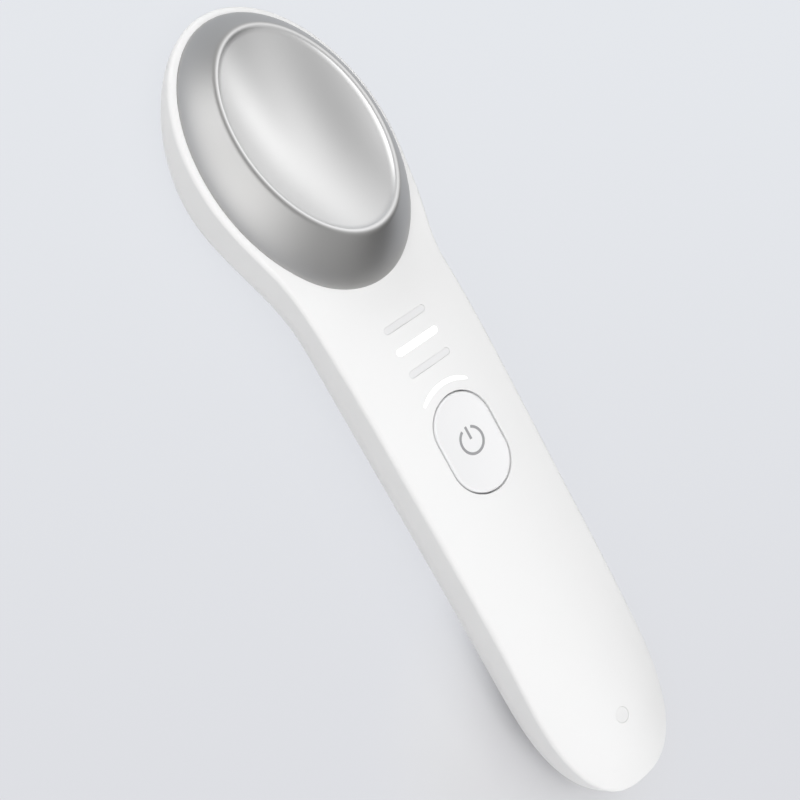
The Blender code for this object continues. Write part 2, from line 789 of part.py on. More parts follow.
def build_contact_cup(finish, head):
    """Metal cup: seat, wall, rounded rim and bowl, hollow underneath, with screw posts."""
    loops = [cup_wall(0.0)]
    loops[0] = [Vector((p.x, p.y, -CUP_SEAT)) for p in loops[0]]
    loops += [cup_wall(t) for t in WALL_SHARES]
    crest = oval(RIM_HALF_WIDTH + CREST_SHARE * LIP, RIM_HALF_LENGTH + CREST_SHARE * LIP,
                 RIM_HEIGHT + CREST_RISE, RIM_SHIFT, RIM_LEAN)
    loops += [crest] + [bowl_loop(t) for t in BOWL_SHARES]
    under = [bowl_loop(t, CUP_WALL) for t in UNDER_BOWL_SHARES]
    under += [cup_wall(t, CUP_WALL) for t in UNDER_WALL_SHARES]
    under += [[Vector((p.x, p.y, -CUP_SEAT)) for p in cup_wall(0.0, CUP_WALL)], loops[0]]
    bm = bmesh.new()
    skin(bm, loops, False, False)
    skin(bm, under, False, False)
    cup = place_object("contact_cup", bm, finish, head)

    extras = bmesh.new()
    side = MODULE_SIDE / 2 + BOSS_MARGIN
    block(extras, (-side, MODULE_SHIFT - side, stack_top()),
          (side, MODULE_SHIFT + side, bowl_height(0.0, MODULE_SHIFT) - CUP_BITE))
    for x, y in cup_posts():
        roof = bowl_height(CUP_POST_LEAN * x, CUP_POST_LEAN * y) - CUP_BITE
        top = min(roof, CUP_POST_TOP * RIM_HEIGHT)
        disc(extras, CUP_POST_RADIUS, retainer_top() + GAP, top, x, y, BAR_STEPS)
    join_shape(cup, extras, "UNION", head)

    bores = bmesh.new()
    for x, y in cup_posts():
        disc(bores, SCREW_RADIUS + GAP, retainer_top(), retainer_top() + 2 * GAP + SCREW_DEPTH,
             x, y, PIN_STEPS)
    join_shape(cup, bores, "DIFFERENCE", head)
    return cup


def stack_top():
    """Height of the flat under the bowl that the module is pressed to."""
    return bowl_height(0.0, MODULE_SHIFT) - STACK_DROP


def oval_ring(name, outer_inset, inner_inset, low, high, finish, head):
    """Flat oval ring, sized from the cup's base outline."""
    outer = (CUP_HALF_WIDTH - outer_inset, CUP_HALF_LENGTH - outer_inset)
    inner = (CUP_HALF_WIDTH - inner_inset, CUP_HALF_LENGTH - inner_inset)
    loops = [oval(*outer, low), oval(*outer, high), oval(*inner, high), oval(*inner, low)]
    loops.append(loops[0])
    return place_object(name, skin(bmesh.new(), loops, False, False), finish, head)


def build_head_parts(finishes, head):
    """Everything that is clamped, pressed or glued under the cup."""
    foot = LEDGE_Z + GAP
    oval_ring("cup_gasket", GASKET_INSET, LEDGE_WIDTH - 2 * GASKET_INSET, foot,
              foot + GASKET_THICK, finishes["rubber"], head)
    top = retainer_top()
    bottom = top - RETAINER_THICK
    lap = LEDGE_WIDTH - RETAINER_LAP
    retainer = oval_ring("cup_retainer", lap, lap + RETAINER_BAND, bottom, top,
                         finishes["frame"], head)
    holes = bmesh.new()
    for x, y in cup_posts():
        disc(holes, SCREW_RADIUS + GAP, bottom - CUT_PAST, top + CUT_PAST, x, y, PIN_STEPS)
    join_shape(retainer, holes, "DIFFERENCE", head)
    seats = [(x, y, bottom - GAP) for x, y in cup_posts()]
    place_copies("retainer_screw", screw(RETAINER_THICK + GAP + SCREW_DEPTH), finishes["steel"],
                 seats, head)

    half = MODULE_SIDE / 2
    upper = stack_top() - GAP
    pad = block(bmesh.new(), (-half, MODULE_SHIFT - half, upper - PAD_THICK),
                (half, MODULE_SHIFT + half, upper))
    place_object("thermal_pad", pad, finishes["pad"], head)

    upper -= PAD_THICK + GAP
    lower = upper - MODULE_THICK
    core = half - PELLET_INSET
    heights = ((half, upper), (half, upper - PLATE_THICK), (core, upper - PLATE_THICK),
               (core, lower + PLATE_THICK), (half, lower + PLATE_THICK), (half, lower))
    module = skin(bmesh.new(), [rectangle(h, h, z, 0.0, MODULE_SHIFT) for h, z in heights])
    place_object("thermoelectric_module", module, finishes["ceramic"], head)

    lower -= GAP
    pad = block(bmesh.new(), (-half, MODULE_SHIFT - half, lower - PAD_THICK),
                (half, MODULE_SHIFT + half, lower))
    place_object("sink_pad", pad, finishes["pad"], head)
    build_heat_sink(lower - PAD_THICK - GAP, finishes["alloy"], head)

    bead_x = MODULE_SIDE / 2 + BEAD_OFFSET
    bead_top = bowl_height(bead_x, MODULE_SHIFT) - CUP_WALL - 2 * GAP
    bead = bmesh.new()
    bmesh.ops.create_uvsphere(bead, u_segments=PIN_STEPS, v_segments=PIN_STEPS // 2 + 1, radius=BEAD_RADIUS)
    bmesh.ops.translate(bead, verts=bead.verts,
                        vec=(bead_x, MODULE_SHIFT, bead_top - BEAD_RADIUS))
    place_object("thermistor", bead, finishes["bead"], head)


def sink_half_width():
    """Half the heat sink's width, which fills the retainer's oval opening."""
    inset = LEDGE_WIDTH - RETAINER_LAP + RETAINER_BAND
    reach = (SINK_LENGTH / 2 + abs(MODULE_SHIFT)) / (CUP_HALF_LENGTH - inset)
    return (CUP_HALF_WIDTH - inset) * math.sqrt(1 - reach**2) - SINK_CLEARANCE


def build_heat_sink(top, finish, head):
    """Heat sink: one comb-shaped section drawn across X and pulled along Y."""
    half = sink_half_width()
    pitch = 2 * half / (2 * FIN_COUNT - 1)
    root, tip = top - SINK_BASE, top - SINK_BASE - FIN_HEIGHT
    outline = [(-half, top), (-half, tip)]
    for k in range(FIN_COUNT - 1):
        x = -half + pitch * (2 * k + 1)
        outline += [(x, tip), (x, root), (x + pitch, root), (x + pitch, tip)]
    outline += [(half, tip), (half, top)]
    ends = (MODULE_SHIFT - SINK_LENGTH / 2, MODULE_SHIFT + SINK_LENGTH / 2)
    bm = skin(bmesh.new(), [[Vector((x, y, z)) for x, z in outline] for y in ends])
    place_object("heat_sink", bm, finish, head)


# Button, switch and lights

def build_button(finish):
    """Power button: a dished cap with a skirt, a stop flange and a central stem."""
    def top(x, y):
        offset = max(abs(y - BUTTON_Y) - BUTTON_HALF, 0.0)
        reach = min(math.hypot(x, offset) / (BUTTON_RADIUS - BUTTON_EDGE), 1.0)
        return face_at(x, y) - BUTTON_DISH * (1 - reach**2)

    under = BODY_DEPTH - BUTTON_PLATE
    flange_radius = BUTTON_RADIUS + BUTTON_FLANGE
    flange_top = face_at(flange_radius, BUTTON_Y) - WALL - GAP
    flange_bottom = flange_top - FLANGE_THICK
    stem_end = plunger_top() + GAP
    loops = [oblong(BUTTON_RADIUS * t, BUTTON_HALF, BUTTON_Y, top) for t in (0.0, 0.4, 0.75)]
    loops.append(oblong(BUTTON_RADIUS - BUTTON_EDGE, BUTTON_HALF, BUTTON_Y, top))
    loops.append(oblong(BUTTON_RADIUS, BUTTON_HALF, BUTTON_Y,
                        lambda x, y: face_at(x, y) - BUTTON_EDGE))
    loops += [oblong(BUTTON_RADIUS, BUTTON_HALF, BUTTON_Y, flange_top),
              oblong(flange_radius, BUTTON_HALF, BUTTON_Y, flange_top),
              oblong(flange_radius, BUTTON_HALF, BUTTON_Y, flange_bottom),
              oblong(BUTTON_RADIUS - BUTTON_SKIRT, BUTTON_HALF, BUTTON_Y, flange_bottom),
              oblong(BUTTON_RADIUS - BUTTON_SKIRT, BUTTON_HALF, BUTTON_Y, under),
              oblong(STEM_RADIUS, 0.0, BUTTON_Y, under),
              oblong(STEM_RADIUS, 0.0, BUTTON_Y, stem_end),
              oblong(0.0, 0.0, BUTTON_Y, stem_end)]
    bm = skin(bmesh.new(), loops, False, False)
    place_object("power_button", bm, finish, origin=(0.0, BUTTON_Y, BODY_DEPTH))


def switch_top():
    """Height of the switch body's upper face."""
    return PART_Z + SWITCH_HEIGHT


def plunger_top():
    """Height of the switch plunger's upper face at rest."""
    return switch_top() + PLUNGER_RISE


def build_switch(finishes):
    """Push switch: a square body with a blind bore, and the plunger that slides in it."""
    half = SWITCH_SIDE / 2
    body = bmesh.new()
    block(body, (-half, BUTTON_Y - half, PART_Z), (half, BUTTON_Y + half, switch_top()))
    switch = place_object("switch_body", body, finishes["frame"])
    bore = disc(bmesh.new(), PLUNGER_RADIUS + GAP, PART_Z + SWITCH_FLOOR, switch_top() + CUT_PAST, 0.0,
                BUTTON_Y)
    join_shape(switch, bore, "DIFFERENCE")
    foot = PART_Z + SWITCH_FLOOR + BUTTON_TRAVEL + PLUNGER_ROOM
    plunger = disc(bmesh.new(), PLUNGER_RADIUS, foot, plunger_top(), 0.0, BUTTON_Y)
    place_object("switch_plunger", plunger, finishes["steel"], origin=(0.0, BUTTON_Y, PART_Z))


def arc_outline(grow, z):
    """Crescent above the button: constant radius, thinned towards its tips."""
    centre = BUTTON_Y + BUTTON_HALF
    radius = BUTTON_RADIUS + ARC_GAP + ARC_STROKE / 2
    spread = ARC_HALF_ANGLE + grow / radius
    angles = [mix(-spread, spread, k / BAR_STEPS) for k in range(BAR_STEPS + 1)]

    def edge(angle, side):
        thin = 1 - ARC_THINNING * (angle / spread) ** 4
        reach = radius + side * (ARC_STROKE / 2 * thin + grow)
        x, y = reach * math.sin(angle), centre + reach * math.cos(angle)
        return Vector((x, y, level(z, x, y)))

    return [edge(a, 1) for a in angles] + [edge(a, -1) for a in angles[::-1]]


def mode_outline(place, grow, height):
    """Short bar across the face with round ends."""
    radius = MODE_STROKE / 2 + grow
    flat = oblong(radius, MODE_LENGTH / 2 - MODE_STROKE / 2, 0.0, 0.0, BAR_STEPS)
    return [Vector((-p.y, place + p.x, level(height, -p.y, place + p.x))) for p in flat]


def build_lights(finishes):
    """Light guides that fill the face's windows, and the lamps under them."""
    lamp_top = PART_Z + LED_HEIGHT
    foot = lamp_top + GAP

    def lens(x, y):
        return face_at(x, y) - LIGHT_RECESS

    arc = skin(bmesh.new(), [arc_outline(0.0, foot), arc_outline(0.0, lens)])
    place_object("arc_light_guide", arc, finishes["lit"])

    rows = mode_rows()
    half = MODE_LENGTH / 2 + GUIDE_SIDE
    first, last = rows[0] - GUIDE_END, rows[-1] + GUIDE_END
    plate_top = min(face_at(half, first), face_at(half, last)) - WALL - 2 * GAP
    guide = block(bmesh.new(), (-half, first, plate_top - GUIDE_THICK), (half, last, plate_top))
    modes = place_object("mode_light_guide", guide, finishes["clear"])
    lenses = bmesh.new()
    for y in rows:
        skin(lenses, [mode_outline(y, 0.0, plate_top - GUIDE_THICK / 2),
                      mode_outline(y, 0.0, lens)])
    for y in (first + GUIDE_PIN_INSET, last - GUIDE_PIN_INSET):
        for x in (half - GUIDE_PIN_INSET, GUIDE_PIN_INSET - half):
            disc(lenses, GUIDE_PIN, PART_Z, plate_top - GUIDE_THICK / 2, x, y, PIN_STEPS)
    join_shape(modes, lenses, "UNION")

    charge_y = TAIL_END + CHARGE_FROM_TAIL
    collar = face_at(0.0, charge_y) - WALL - GAP
    wide = CHARGE_RADIUS + COLLAR_WIDTH
    levels = [(CHARGE_RADIUS, foot), (CHARGE_RADIUS, collar - GUIDE_THICK),
              (wide, collar - GUIDE_THICK), (wide, collar), (CHARGE_RADIUS, collar),
              (CHARGE_RADIUS, lens(0.0, charge_y))]
    charge = skin(bmesh.new(), [circle(r, z, 0.0, charge_y) for r, z in levels])
    place_object("charge_light_guide", charge, finishes["clear"])

    spread = BUTTON_RADIUS + ARC_GAP + ARC_STROKE / 2
    places = rows + [charge_y, BUTTON_Y + BUTTON_HALF + spread]
    lamp = block(bmesh.new(), (-LED_LENGTH / 2, -LED_WIDTH / 2, 0.0),
                 (LED_LENGTH / 2, LED_WIDTH / 2, LED_HEIGHT))
    place_copies("indicator_led", lamp, finishes["lit"], [(0.0, y, PART_Z) for y in places])


# Board, battery, motor and socket

def build_board(finishes):
    """Circuit board whose outline follows the housing, with its screws and chips."""
    tail, head = board_span()
    places = [mix(tail, head, k / BOARD_STEPS) for k in range(BOARD_STEPS + 1)]
    right = [(board_half(y), y) for y in places]
    outline = right + [(-x, y) for x, y in right[::-1]]
    bm = skin(bmesh.new(), [[Vector((x, y, z)) for x, y in outline]
                            for z in (BOARD_BOTTOM, BOARD_TOP)])
    board = place_object("main_board", bm, finishes["board"])
    holes = bmesh.new()
    for x, y in board_posts():
        disc(holes, SCREW_RADIUS + GAP, BOARD_BOTTOM - CUT_PAST, BOARD_TOP + CUT_PAST, x, y, PIN_STEPS)
    join_shape(board, holes, "DIFFERENCE")
    seats = [(x, y, BOARD_BOTTOM - GAP) for x, y in board_posts()]
    place_copies("board_screw", screw(BOARD_THICK + SCREW_DEPTH), finishes["steel"],
                 seats)

    middle = sum(battery_span()) / 2
    for name, (x, ahead, half, height) in (("controller_chip", CONTROLLER),
                                           ("charger_chip", CHARGER), ("power_coil", COIL)):
        y = middle + ahead
        chip = block(bmesh.new(), (x - half, y - half, PART_Z),
                     (x + half, y + half, PART_Z + height))
        place_object(name, chip, finishes["chip"])


def build_battery(finishes):
    """Flat cell on a foam pad, over the rear shell's ribs."""
    tail, head = battery_span()
    base = battery_base()
    half_x = min(tray_half(tail, base), tray_half(head, base)) - 2 * GAP
    middle, half_y = (tail + head) / 2, (head - tail) / 2
    top = base + BATTERY_THICK
    levels = ((BATTERY_EDGE, base), (0.0, base + BATTERY_EDGE), (0.0, top - BATTERY_EDGE),
              (BATTERY_EDGE, top))
    cell = skin(bmesh.new(), [rectangle(half_x - i, half_y - i, z, 0.0, middle, BATTERY_CORNER)
                              for i, z in levels])
    place_object("battery_cell", cell, finishes["foil"])
    foam = block(bmesh.new(), (FOAM_INSET - half_x, tail + FOAM_INSET, base - GAP - FOAM_THICK),
                 (half_x - FOAM_INSET, head - FOAM_INSET, base - GAP))
    place_object("battery_pad", foam, finishes["foam"])

    height = base + BATTERY_THICK / 2
    route = [Vector((0, head + GAP, height)), Vector((0, head + LEAD_REACH, height)),
             Vector((0, head + LEAD_REACH + LEAD_SLANT, SOLDER_Z))]
    place_object("battery_lead", twin_lead(bend_path(route)), finishes["wire_red"])


def build_motor(finishes):
    """Vibration motor in a rubber sleeve, with its shaft and off-centre weight."""
    z = motor_axis_z()
    start = motor_start_y()
    end = start + MOTOR_LENGTH
    case = bmesh.new()
    levels = ((MOTOR_RADIUS - MOTOR_ROUND, start), (MOTOR_RADIUS, start + MOTOR_ROUND),
              (MOTOR_RADIUS, end - MOTOR_NOSE), (MOTOR_NOSE_RADIUS, end - MOTOR_NOSE),
              (MOTOR_NOSE_RADIUS, end))
    skin(case, [along_y(circle(r, y, 0.0, z, MOTOR_STEPS)) for r, y in levels])
    motor = place_object("motor_case", case, finishes["steel"], origin=(0.0, start, z))
    bore = skin(bmesh.new(), [along_y(circle(SHAFT_RADIUS + SHAFT_GAP, y, 0.0, z, BAR_STEPS))
                              for y in (end - SHAFT_ROOT - GAP, end + CUT_PAST)])
    join_shape(motor, bore, "DIFFERENCE")

    inner, outer = MOTOR_RADIUS + GAP, MOTOR_RADIUS + GAP + SLEEVE_WALL
    low = start + (MOTOR_LENGTH - SLEEVE_LENGTH) / 2
    levels = ((outer, low), (outer, low + SLEEVE_LENGTH), (inner, low + SLEEVE_LENGTH),
              (inner, low), (outer, low))
    sleeve = skin(bmesh.new(), [along_y(circle(r, y, 0.0, z, MOTOR_STEPS)) for r, y in levels],
                  False, False)
    place_object("motor_sleeve", sleeve, finishes["rubber"])

    axis = (0.0, end, z)
    shaft = skin(bmesh.new(), [along_y(circle(SHAFT_RADIUS, y, 0.0, z, BAR_STEPS))
                               for y in (end - SHAFT_ROOT, end + SHAFT_REACH)])
    place_object("motor_shaft", shaft, finishes["steel"], origin=axis)

    near = end + WEIGHT_GAP
    hub = SHAFT_RADIUS + HUB_WALL
    turns = [math.pi * k / BAR_STEPS for k in range(BAR_STEPS + 1)]
    outline = [(-WEIGHT_RADIUS * math.cos(a), -WEIGHT_RADIUS * math.sin(a)) for a in turns]
    outline += [(hub * math.cos(a), hub * math.sin(a)) for a in turns]
    weight = skin(bmesh.new(), [[Vector((x, y, z + h)) for x, h in outline]
                                for y in (near, near + WEIGHT_LENGTH)])
    body = place_object("motor_weight", weight, finishes["brass"], origin=axis)
    bore = skin(bmesh.new(), [along_y(circle(SHAFT_RADIUS + SHAFT_GAP, y, 0.0, z, BAR_STEPS))
                              for y in (near - CUT_PAST, near + WEIGHT_LENGTH + CUT_PAST)])
    join_shape(body, bore, "DIFFERENCE")

    route = [Vector((0, start - GAP, z)), Vector((0, start - LEAD_REACH, z)),
             Vector((0, start - LEAD_REACH - LEAD_SLANT, SOLDER_Z))]
    place_object("motor_lead", twin_lead(bend_path(route)), finishes["wire_black"])


def socket_outline(grow, y):
    """Flat oblong of the charging socket, drawn with Z as its second axis."""
    radius = SOCKET_HEIGHT / 2 + grow
    flat = oblong(radius, SOCKET_WIDTH / 2 - SOCKET_HEIGHT / 2, 0.0, y, BAR_STEPS)
    return [Vector((-p.y, socket_z() + p.x, y)) for p in flat]


def build_socket(finishes):
    """Charging socket: a drawn metal shell closed at its inner end, and its contact tongue."""
    mouth = socket_mouth_y()
    back = mouth + SOCKET_DEPTH
    loops = [along_y(socket_outline(0.0, back)), along_y(socket_outline(0.0, mouth)),
             along_y(socket_outline(-SOCKET_WALL, mouth)),
             along_y(socket_outline(-SOCKET_WALL, back - SOCKET_WALL))]
    place_object("socket_shell", skin(bmesh.new(), loops), finishes["steel"])

    inner = back - SOCKET_WALL - GAP
    half_x = SOCKET_WIDTH / 2 - SOCKET_HEIGHT / 2
    foot = SOCKET_HEIGHT / 2 - SOCKET_WALL - GAP
    slim = half_x - TONGUE_INSET
    levels = ((half_x, foot, inner), (half_x, foot, inner - TONGUE_FOOT),
              (slim, TONGUE_PLATE / 2, inner - TONGUE_FOOT),
              (slim, TONGUE_PLATE / 2, mouth + TONGUE_SET_BACK))
    tongue = skin(bmesh.new(), [along_y(rectangle(hx, hz, y, 0.0, socket_z()))
                                for hx, hz, y in levels])
    place_object("socket_tongue", tongue, finishes["frame"])


def build_module_lead(finish, head):
    """Wire pair from the thermoelectric module under the retainer to the board."""
    edge = MODULE_SHIFT - MODULE_SIDE / 2
    core = stack_top() - 2 * GAP - PAD_THICK - MODULE_THICK / 2
    under = retainer_top() - RETAINER_THICK - LEAD_DIP
    solder = Vector((0, board_span()[1] - SOLDER_INSET, SOLDER_Z))
    end = head.matrix_world.inverted() @ (solder * MM) / MM
    route = [Vector((0, edge + PELLET_INSET - GAP, core)), Vector((0, edge - LEAD_REACH, core)),
             Vector((0, edge - LEAD_REACH - 2 * LEAD_SLANT, under)),
             Vector((0, end.y + LEAD_REACH + LEAD_SLANT, under)),
             Vector((0, end.y, end.z))]
    place_object("module_lead", twin_lead(bend_path(route)), finish, head)


def make_finishes():
    """Materials by what they are."""
    return {
        "shell": material("white_moulding", (0.90, 0.90, 0.89), 0.38),
        "back": material("white_back_moulding", (0.89, 0.89, 0.88), 0.42),
        "button": material("button_moulding", (0.88, 0.88, 0.88), 0.35),
        "cup": material("satin_cup", (0.74, 0.74, 0.73), 0.28, 1.0),
        "rubber": material("soft_rubber", (0.08, 0.08, 0.085), 0.7),
        "frame": material("dark_moulding", (0.12, 0.12, 0.13), 0.5),
        "steel": material("bright_steel", (0.62, 0.62, 0.63), 0.3, 1.0),
        "alloy": material("sink_alloy", (0.66, 0.67, 0.68), 0.45, 1.0),
        "pad": material("heat_pad", (0.55, 0.60, 0.66), 0.8),
        "ceramic": material("white_ceramic", (0.85, 0.84, 0.80), 0.5),
        "bead": material("sensor_bead", (0.10, 0.08, 0.06), 0.4),
        "lit": material("lit_guide", (0.98, 0.98, 0.98), 0.2),
        "clear": material("frosted_guide", (0.80, 0.81, 0.82), 0.25),
        "board": material("green_board", (0.03, 0.18, 0.09), 0.45),
        "chip": material("chip_black", (0.03, 0.03, 0.035), 0.4),
        "foil": material("cell_foil", (0.70, 0.71, 0.73), 0.35, 0.6),
        "foam": material("grey_foam", (0.25, 0.25, 0.26), 0.9),
        "brass": material("weight_brass", (0.70, 0.52, 0.25), 0.35, 1.0),
        "wire_red": material("red_wire", (0.55, 0.03, 0.03), 0.5),
        "wire_black": material("black_wire", (0.03, 0.03, 0.03), 0.5),
    }


def main():
    """Build every piece in its place."""
    clear_scene()
    finishes = make_finishes()
    head = bpy.data.objects.new("head_frame", None)
    bpy.context.scene.collection.objects.link(head)
    head.location = Vector((0.0, HEAD_Y, face_height(HEAD_Y))) * MM
    head.rotation_euler = (-HEAD_TILT, 0.0, 0.0)
    bpy.context.view_layer.update()

    build_front_shell(finishes["shell"], head)
    build_rear_shell(finishes["back"])
    build_contact_cup(finishes["cup"], head)
    build_head_parts(finishes, head)
    build_button(finishes["button"])
    build_switch(finishes)
    build_lights(finishes)
    build_board(finishes)
    build_battery(finishes)
    build_motor(finishes)
    build_socket(finishes)
    build_module_lead(finishes["wire_black"], head)


main()
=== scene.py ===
"""Looks for a warm and cool eye massager wand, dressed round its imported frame.

The wand lies on its flat back: +X is its width, +Y runs from the tail to the head and +Z points out
of the front face. Sizes are written in millimetres and turned into metres when a mesh is made.
"""

import json
import logging
import math
from dataclasses import dataclass, field, replace
from enum import Enum
from typing import Any, Callable, Iterable, Optional, Sequence, Union

import bmesh
import bpy
from mathutils import Color, Matrix, Quaternion, Vector
from mathutils.bvhtree import BVHTree
from mathutils.interpolate import poly_3d_calc

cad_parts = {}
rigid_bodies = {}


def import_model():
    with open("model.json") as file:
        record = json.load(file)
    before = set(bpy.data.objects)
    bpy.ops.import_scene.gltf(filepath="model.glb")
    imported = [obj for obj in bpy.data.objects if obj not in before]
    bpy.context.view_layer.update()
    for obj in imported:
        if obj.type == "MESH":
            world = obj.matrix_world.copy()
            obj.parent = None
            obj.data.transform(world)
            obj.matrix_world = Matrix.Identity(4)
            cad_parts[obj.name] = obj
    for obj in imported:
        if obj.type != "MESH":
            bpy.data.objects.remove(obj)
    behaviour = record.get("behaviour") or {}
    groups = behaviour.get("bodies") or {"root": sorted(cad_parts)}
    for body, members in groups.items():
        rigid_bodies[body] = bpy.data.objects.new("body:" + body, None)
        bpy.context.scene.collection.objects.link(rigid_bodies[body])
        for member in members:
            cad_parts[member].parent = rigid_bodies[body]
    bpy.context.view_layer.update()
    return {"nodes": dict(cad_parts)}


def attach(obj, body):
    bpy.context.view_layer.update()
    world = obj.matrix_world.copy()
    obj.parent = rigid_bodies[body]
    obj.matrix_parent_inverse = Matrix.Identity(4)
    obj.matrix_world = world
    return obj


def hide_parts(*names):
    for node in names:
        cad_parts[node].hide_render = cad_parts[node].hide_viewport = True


log = logging.getLogger("wand")

MM = 0.001
# Points closer than this are welded, in millimetres.
WELD = 1e-4
# Noise textures swing about this value.
NOISE_MIDDLE = 0.5
# Places of the sockets of a Mix node for colours.
MIX_FACTOR, MIX_FIRST, MIX_SECOND, MIX_RESULT = 0, 6, 7, 2
# The cup mesh's attribute: 1 in the bowl, 0 on the wall, which takes the painted shade.
BOWL_SHARE = "bowl"
BLACK = (0.0, 0.0, 0.0)
EIGHT_BIT = 255

Colour = tuple[float, float, float]
Height = Union[float, Callable[[float, float], float]]
Loop = list[Vector]


class Body(Enum):
    """CAD bodies that pieces ride on."""

    HOUSING = "housing"
    BUTTON = "button"


class Slot(Enum):
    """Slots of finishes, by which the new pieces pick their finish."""

    FRONT = "front_moulding"
    BACK = "back_moulding"
    BUTTON = "button_moulding"
    CUP = "cup_metal"
    LIT = "lit_guide"
    FROSTED = "frosted_guide"
    STEEL = "bright_steel"
    DARK = "dark_moulding"


# Small maths


def smooth(t: float) -> float:
    """Ease from 0 to 1 with level ends."""
    t = min(max(t, 0.0), 1.0)
    return t * t * (3.0 - 2.0 * t)


def mix(a: float, b: float, t: float) -> float:
    """Blend two values."""
    return a + (b - a) * t


def spread(start: float, end: float, steps: int) -> list[float]:
    """Evenly spaced values from start to end, both included."""
    return [mix(start, end, k / steps) for k in range(steps + 1)]


def cubic(y: float, start: Sequence[float], end: Sequence[float]) -> float:
    """Cubic curve between two ends.

    Args:
        y: Place along the curve.
        start: Place, value and slope at the first end.
        end: Place, value and slope at the other end.

    Returns:
        The curve's value.
    """
    (y0, v0, m0), (y1, v1, m1) = start, end
    span = y1 - y0
    t = (y - y0) / span
    return (v0 * (2 * t**3 - 3 * t**2 + 1) + v1 * (3 * t**2 - 2 * t**3)
            + span * (m0 * (t**3 - 2 * t**2 + t) + m1 * (t**3 - t**2)))


def level(height: Height, x: float, y: float) -> float:
    """Height at a place, given as a number or as a function of the place."""
    return height(x, y) if callable(height) else height


def to_linear(red: int, green: int, blue: int) -> Colour:
    """Linear colour of an ordinary eight-bit one."""
    shares = [channel / EIGHT_BIT for channel in (red, green, blue)]
    return tuple(Color(shares).from_srgb_to_scene_linear())


def dimmed(colour: Colour, share: float) -> Colour:
    """A colour times a share."""
    return tuple(c * share for c in colour)


# Node maths


class Flow:
    """A node's value that takes part in Python expressions."""

    def __init__(self, graph: "NodeGraph", socket: Optional[bpy.types.NodeSocket]) -> None:
        """Wrap a socket of a graph."""
        self.graph = graph
        self.socket = socket

    def _with(self, operation: str, first: Any, second: Any) -> "Flow":
        """Add a Math node on two values."""
        return self.graph.add("ShaderNodeMath", {"operation": operation}, {0: first, 1: second})

    def __add__(self, other: Any) -> "Flow":
        """Sum."""
        return self._with("ADD", self, other)

    __radd__ = __add__

    def __sub__(self, other: Any) -> "Flow":
        """Difference."""
        return self._with("SUBTRACT", self, other)

    def __rsub__(self, other: Any) -> "Flow":
        """Difference, with the value on the right."""
        return self._with("SUBTRACT", other, self)

    def __mul__(self, other: Any) -> "Flow":
        """Product."""
        return self._with("MULTIPLY", self, other)

    __rmul__ = __mul__

    def __pow__(self, other: Any) -> "Flow":
        """Power."""
        return self._with("POWER", self, other)

    def __rpow__(self, other: Any) -> "Flow":
        """Power, with the value as its exponent."""
        return self._with("POWER", other, self)

    def __abs__(self) -> "Flow":
        """Size without its sign."""
        return self._with("ABSOLUTE", self, 0.0)

    def ramp(self, low: float, high: float) -> "Flow":
        """Ease from 0 at one value to 1 at another."""
        return self.graph.add("ShaderNodeMapRange", {"interpolation_type": "SMOOTHSTEP"},
                              {"Value": self, "From Min": low, "From Max": high})


class NodeGraph:
    """A node tree, and the one way to add a node to it."""

    def __init__(self, tree: bpy.types.NodeTree) -> None:
        """Work on a tree."""
        self.tree = tree

    def add(self, kind: str, settings: Optional[dict[str, Any]] = None,
            inputs: Optional[dict[Union[str, int], Any]] = None,
            output: Union[str, int] = 0) -> Flow:
        """Add any node.

        Args:
            kind: The node's type.
            settings: Its properties, which are set first.
            inputs: Values, flows or lists of flows for its sockets, by name or place.
            output: The socket to return, by name or place.

        Returns:
            The chosen output, which is empty for a node that has none.
        """
        node = self.tree.nodes.new(kind)
        for name, value in (settings or {}).items():
            setattr(node, name, value)
        for key, value in (inputs or {}).items():
            for item in value if isinstance(value, list) else [value]:
                if isinstance(item, Flow):
                    self.tree.links.new(item.socket, node.inputs[key])
                else:
                    node.inputs[key].default_value = item
        return Flow(self, node.outputs[output] if node.outputs else None)


class ShaderGraph(NodeGraph):
    """The node tree of a material or of the world."""

    def __init__(self, owner: Union[bpy.types.Material, bpy.types.World]) -> None:
        """Start from the owner's tree, emptied.

        Args:
            owner: A material or a world.
        """
        owner.use_nodes = True
        super().__init__(owner.node_tree)
        self.tree.nodes.clear()

    def spot(self) -> Flow:
        """Object coordinates."""
        return self.add("ShaderNodeTexCoord", None, None, "Object")

    def place(self, axis: str) -> Flow:
        """One Object coordinate, X, Y or Z, in metres."""
        return self.add("ShaderNodeSeparateXYZ", None, {0: self.spot()}, axis)

    def noise(self, scale: float, detail: float = 2.0,
              stretch: Sequence[float] = (1.0, 1.0, 1.0)) -> Flow:
        """Noise on Object coordinates.

        Args:
            scale: Waves to a metre.
            detail: Finer layers.
            stretch: Scale of each axis.

        Returns:
            The noise, about 0.5 on average.
        """
        where = self.add("ShaderNodeMapping", None,
                         {"Vector": self.spot(), "Scale": tuple(stretch)})
        return self.add("ShaderNodeTexNoise", None,
                        {"Vector": where, "Scale": scale, "Detail": detail})

    def tint(self, factor: Flow, first: Union[Colour, Flow], second: Union[Colour, Flow]) -> Flow:
        """Blend two colours, each a plain one or a flow."""
        ends = [c if isinstance(c, Flow) else (*c, 1.0) for c in (first, second)]
        return self.add("ShaderNodeMix", {"data_type": "RGBA"},
                        {MIX_FACTOR: factor, MIX_FIRST: ends[0], MIX_SECOND: ends[1]}, MIX_RESULT)

    def bump(self, height: Flow, strength: float, distance: float) -> Flow:
        """Surface relief from a height."""
        return self.add("ShaderNodeBump", None,
                        {"Strength": strength, "Distance": distance, "Height": height})

    def close(self, shader: Flow, kind: str = "ShaderNodeOutputMaterial") -> None:
        """End the tree in an output node."""
        self.add(kind, None, {"Surface": shader})


# Finishes


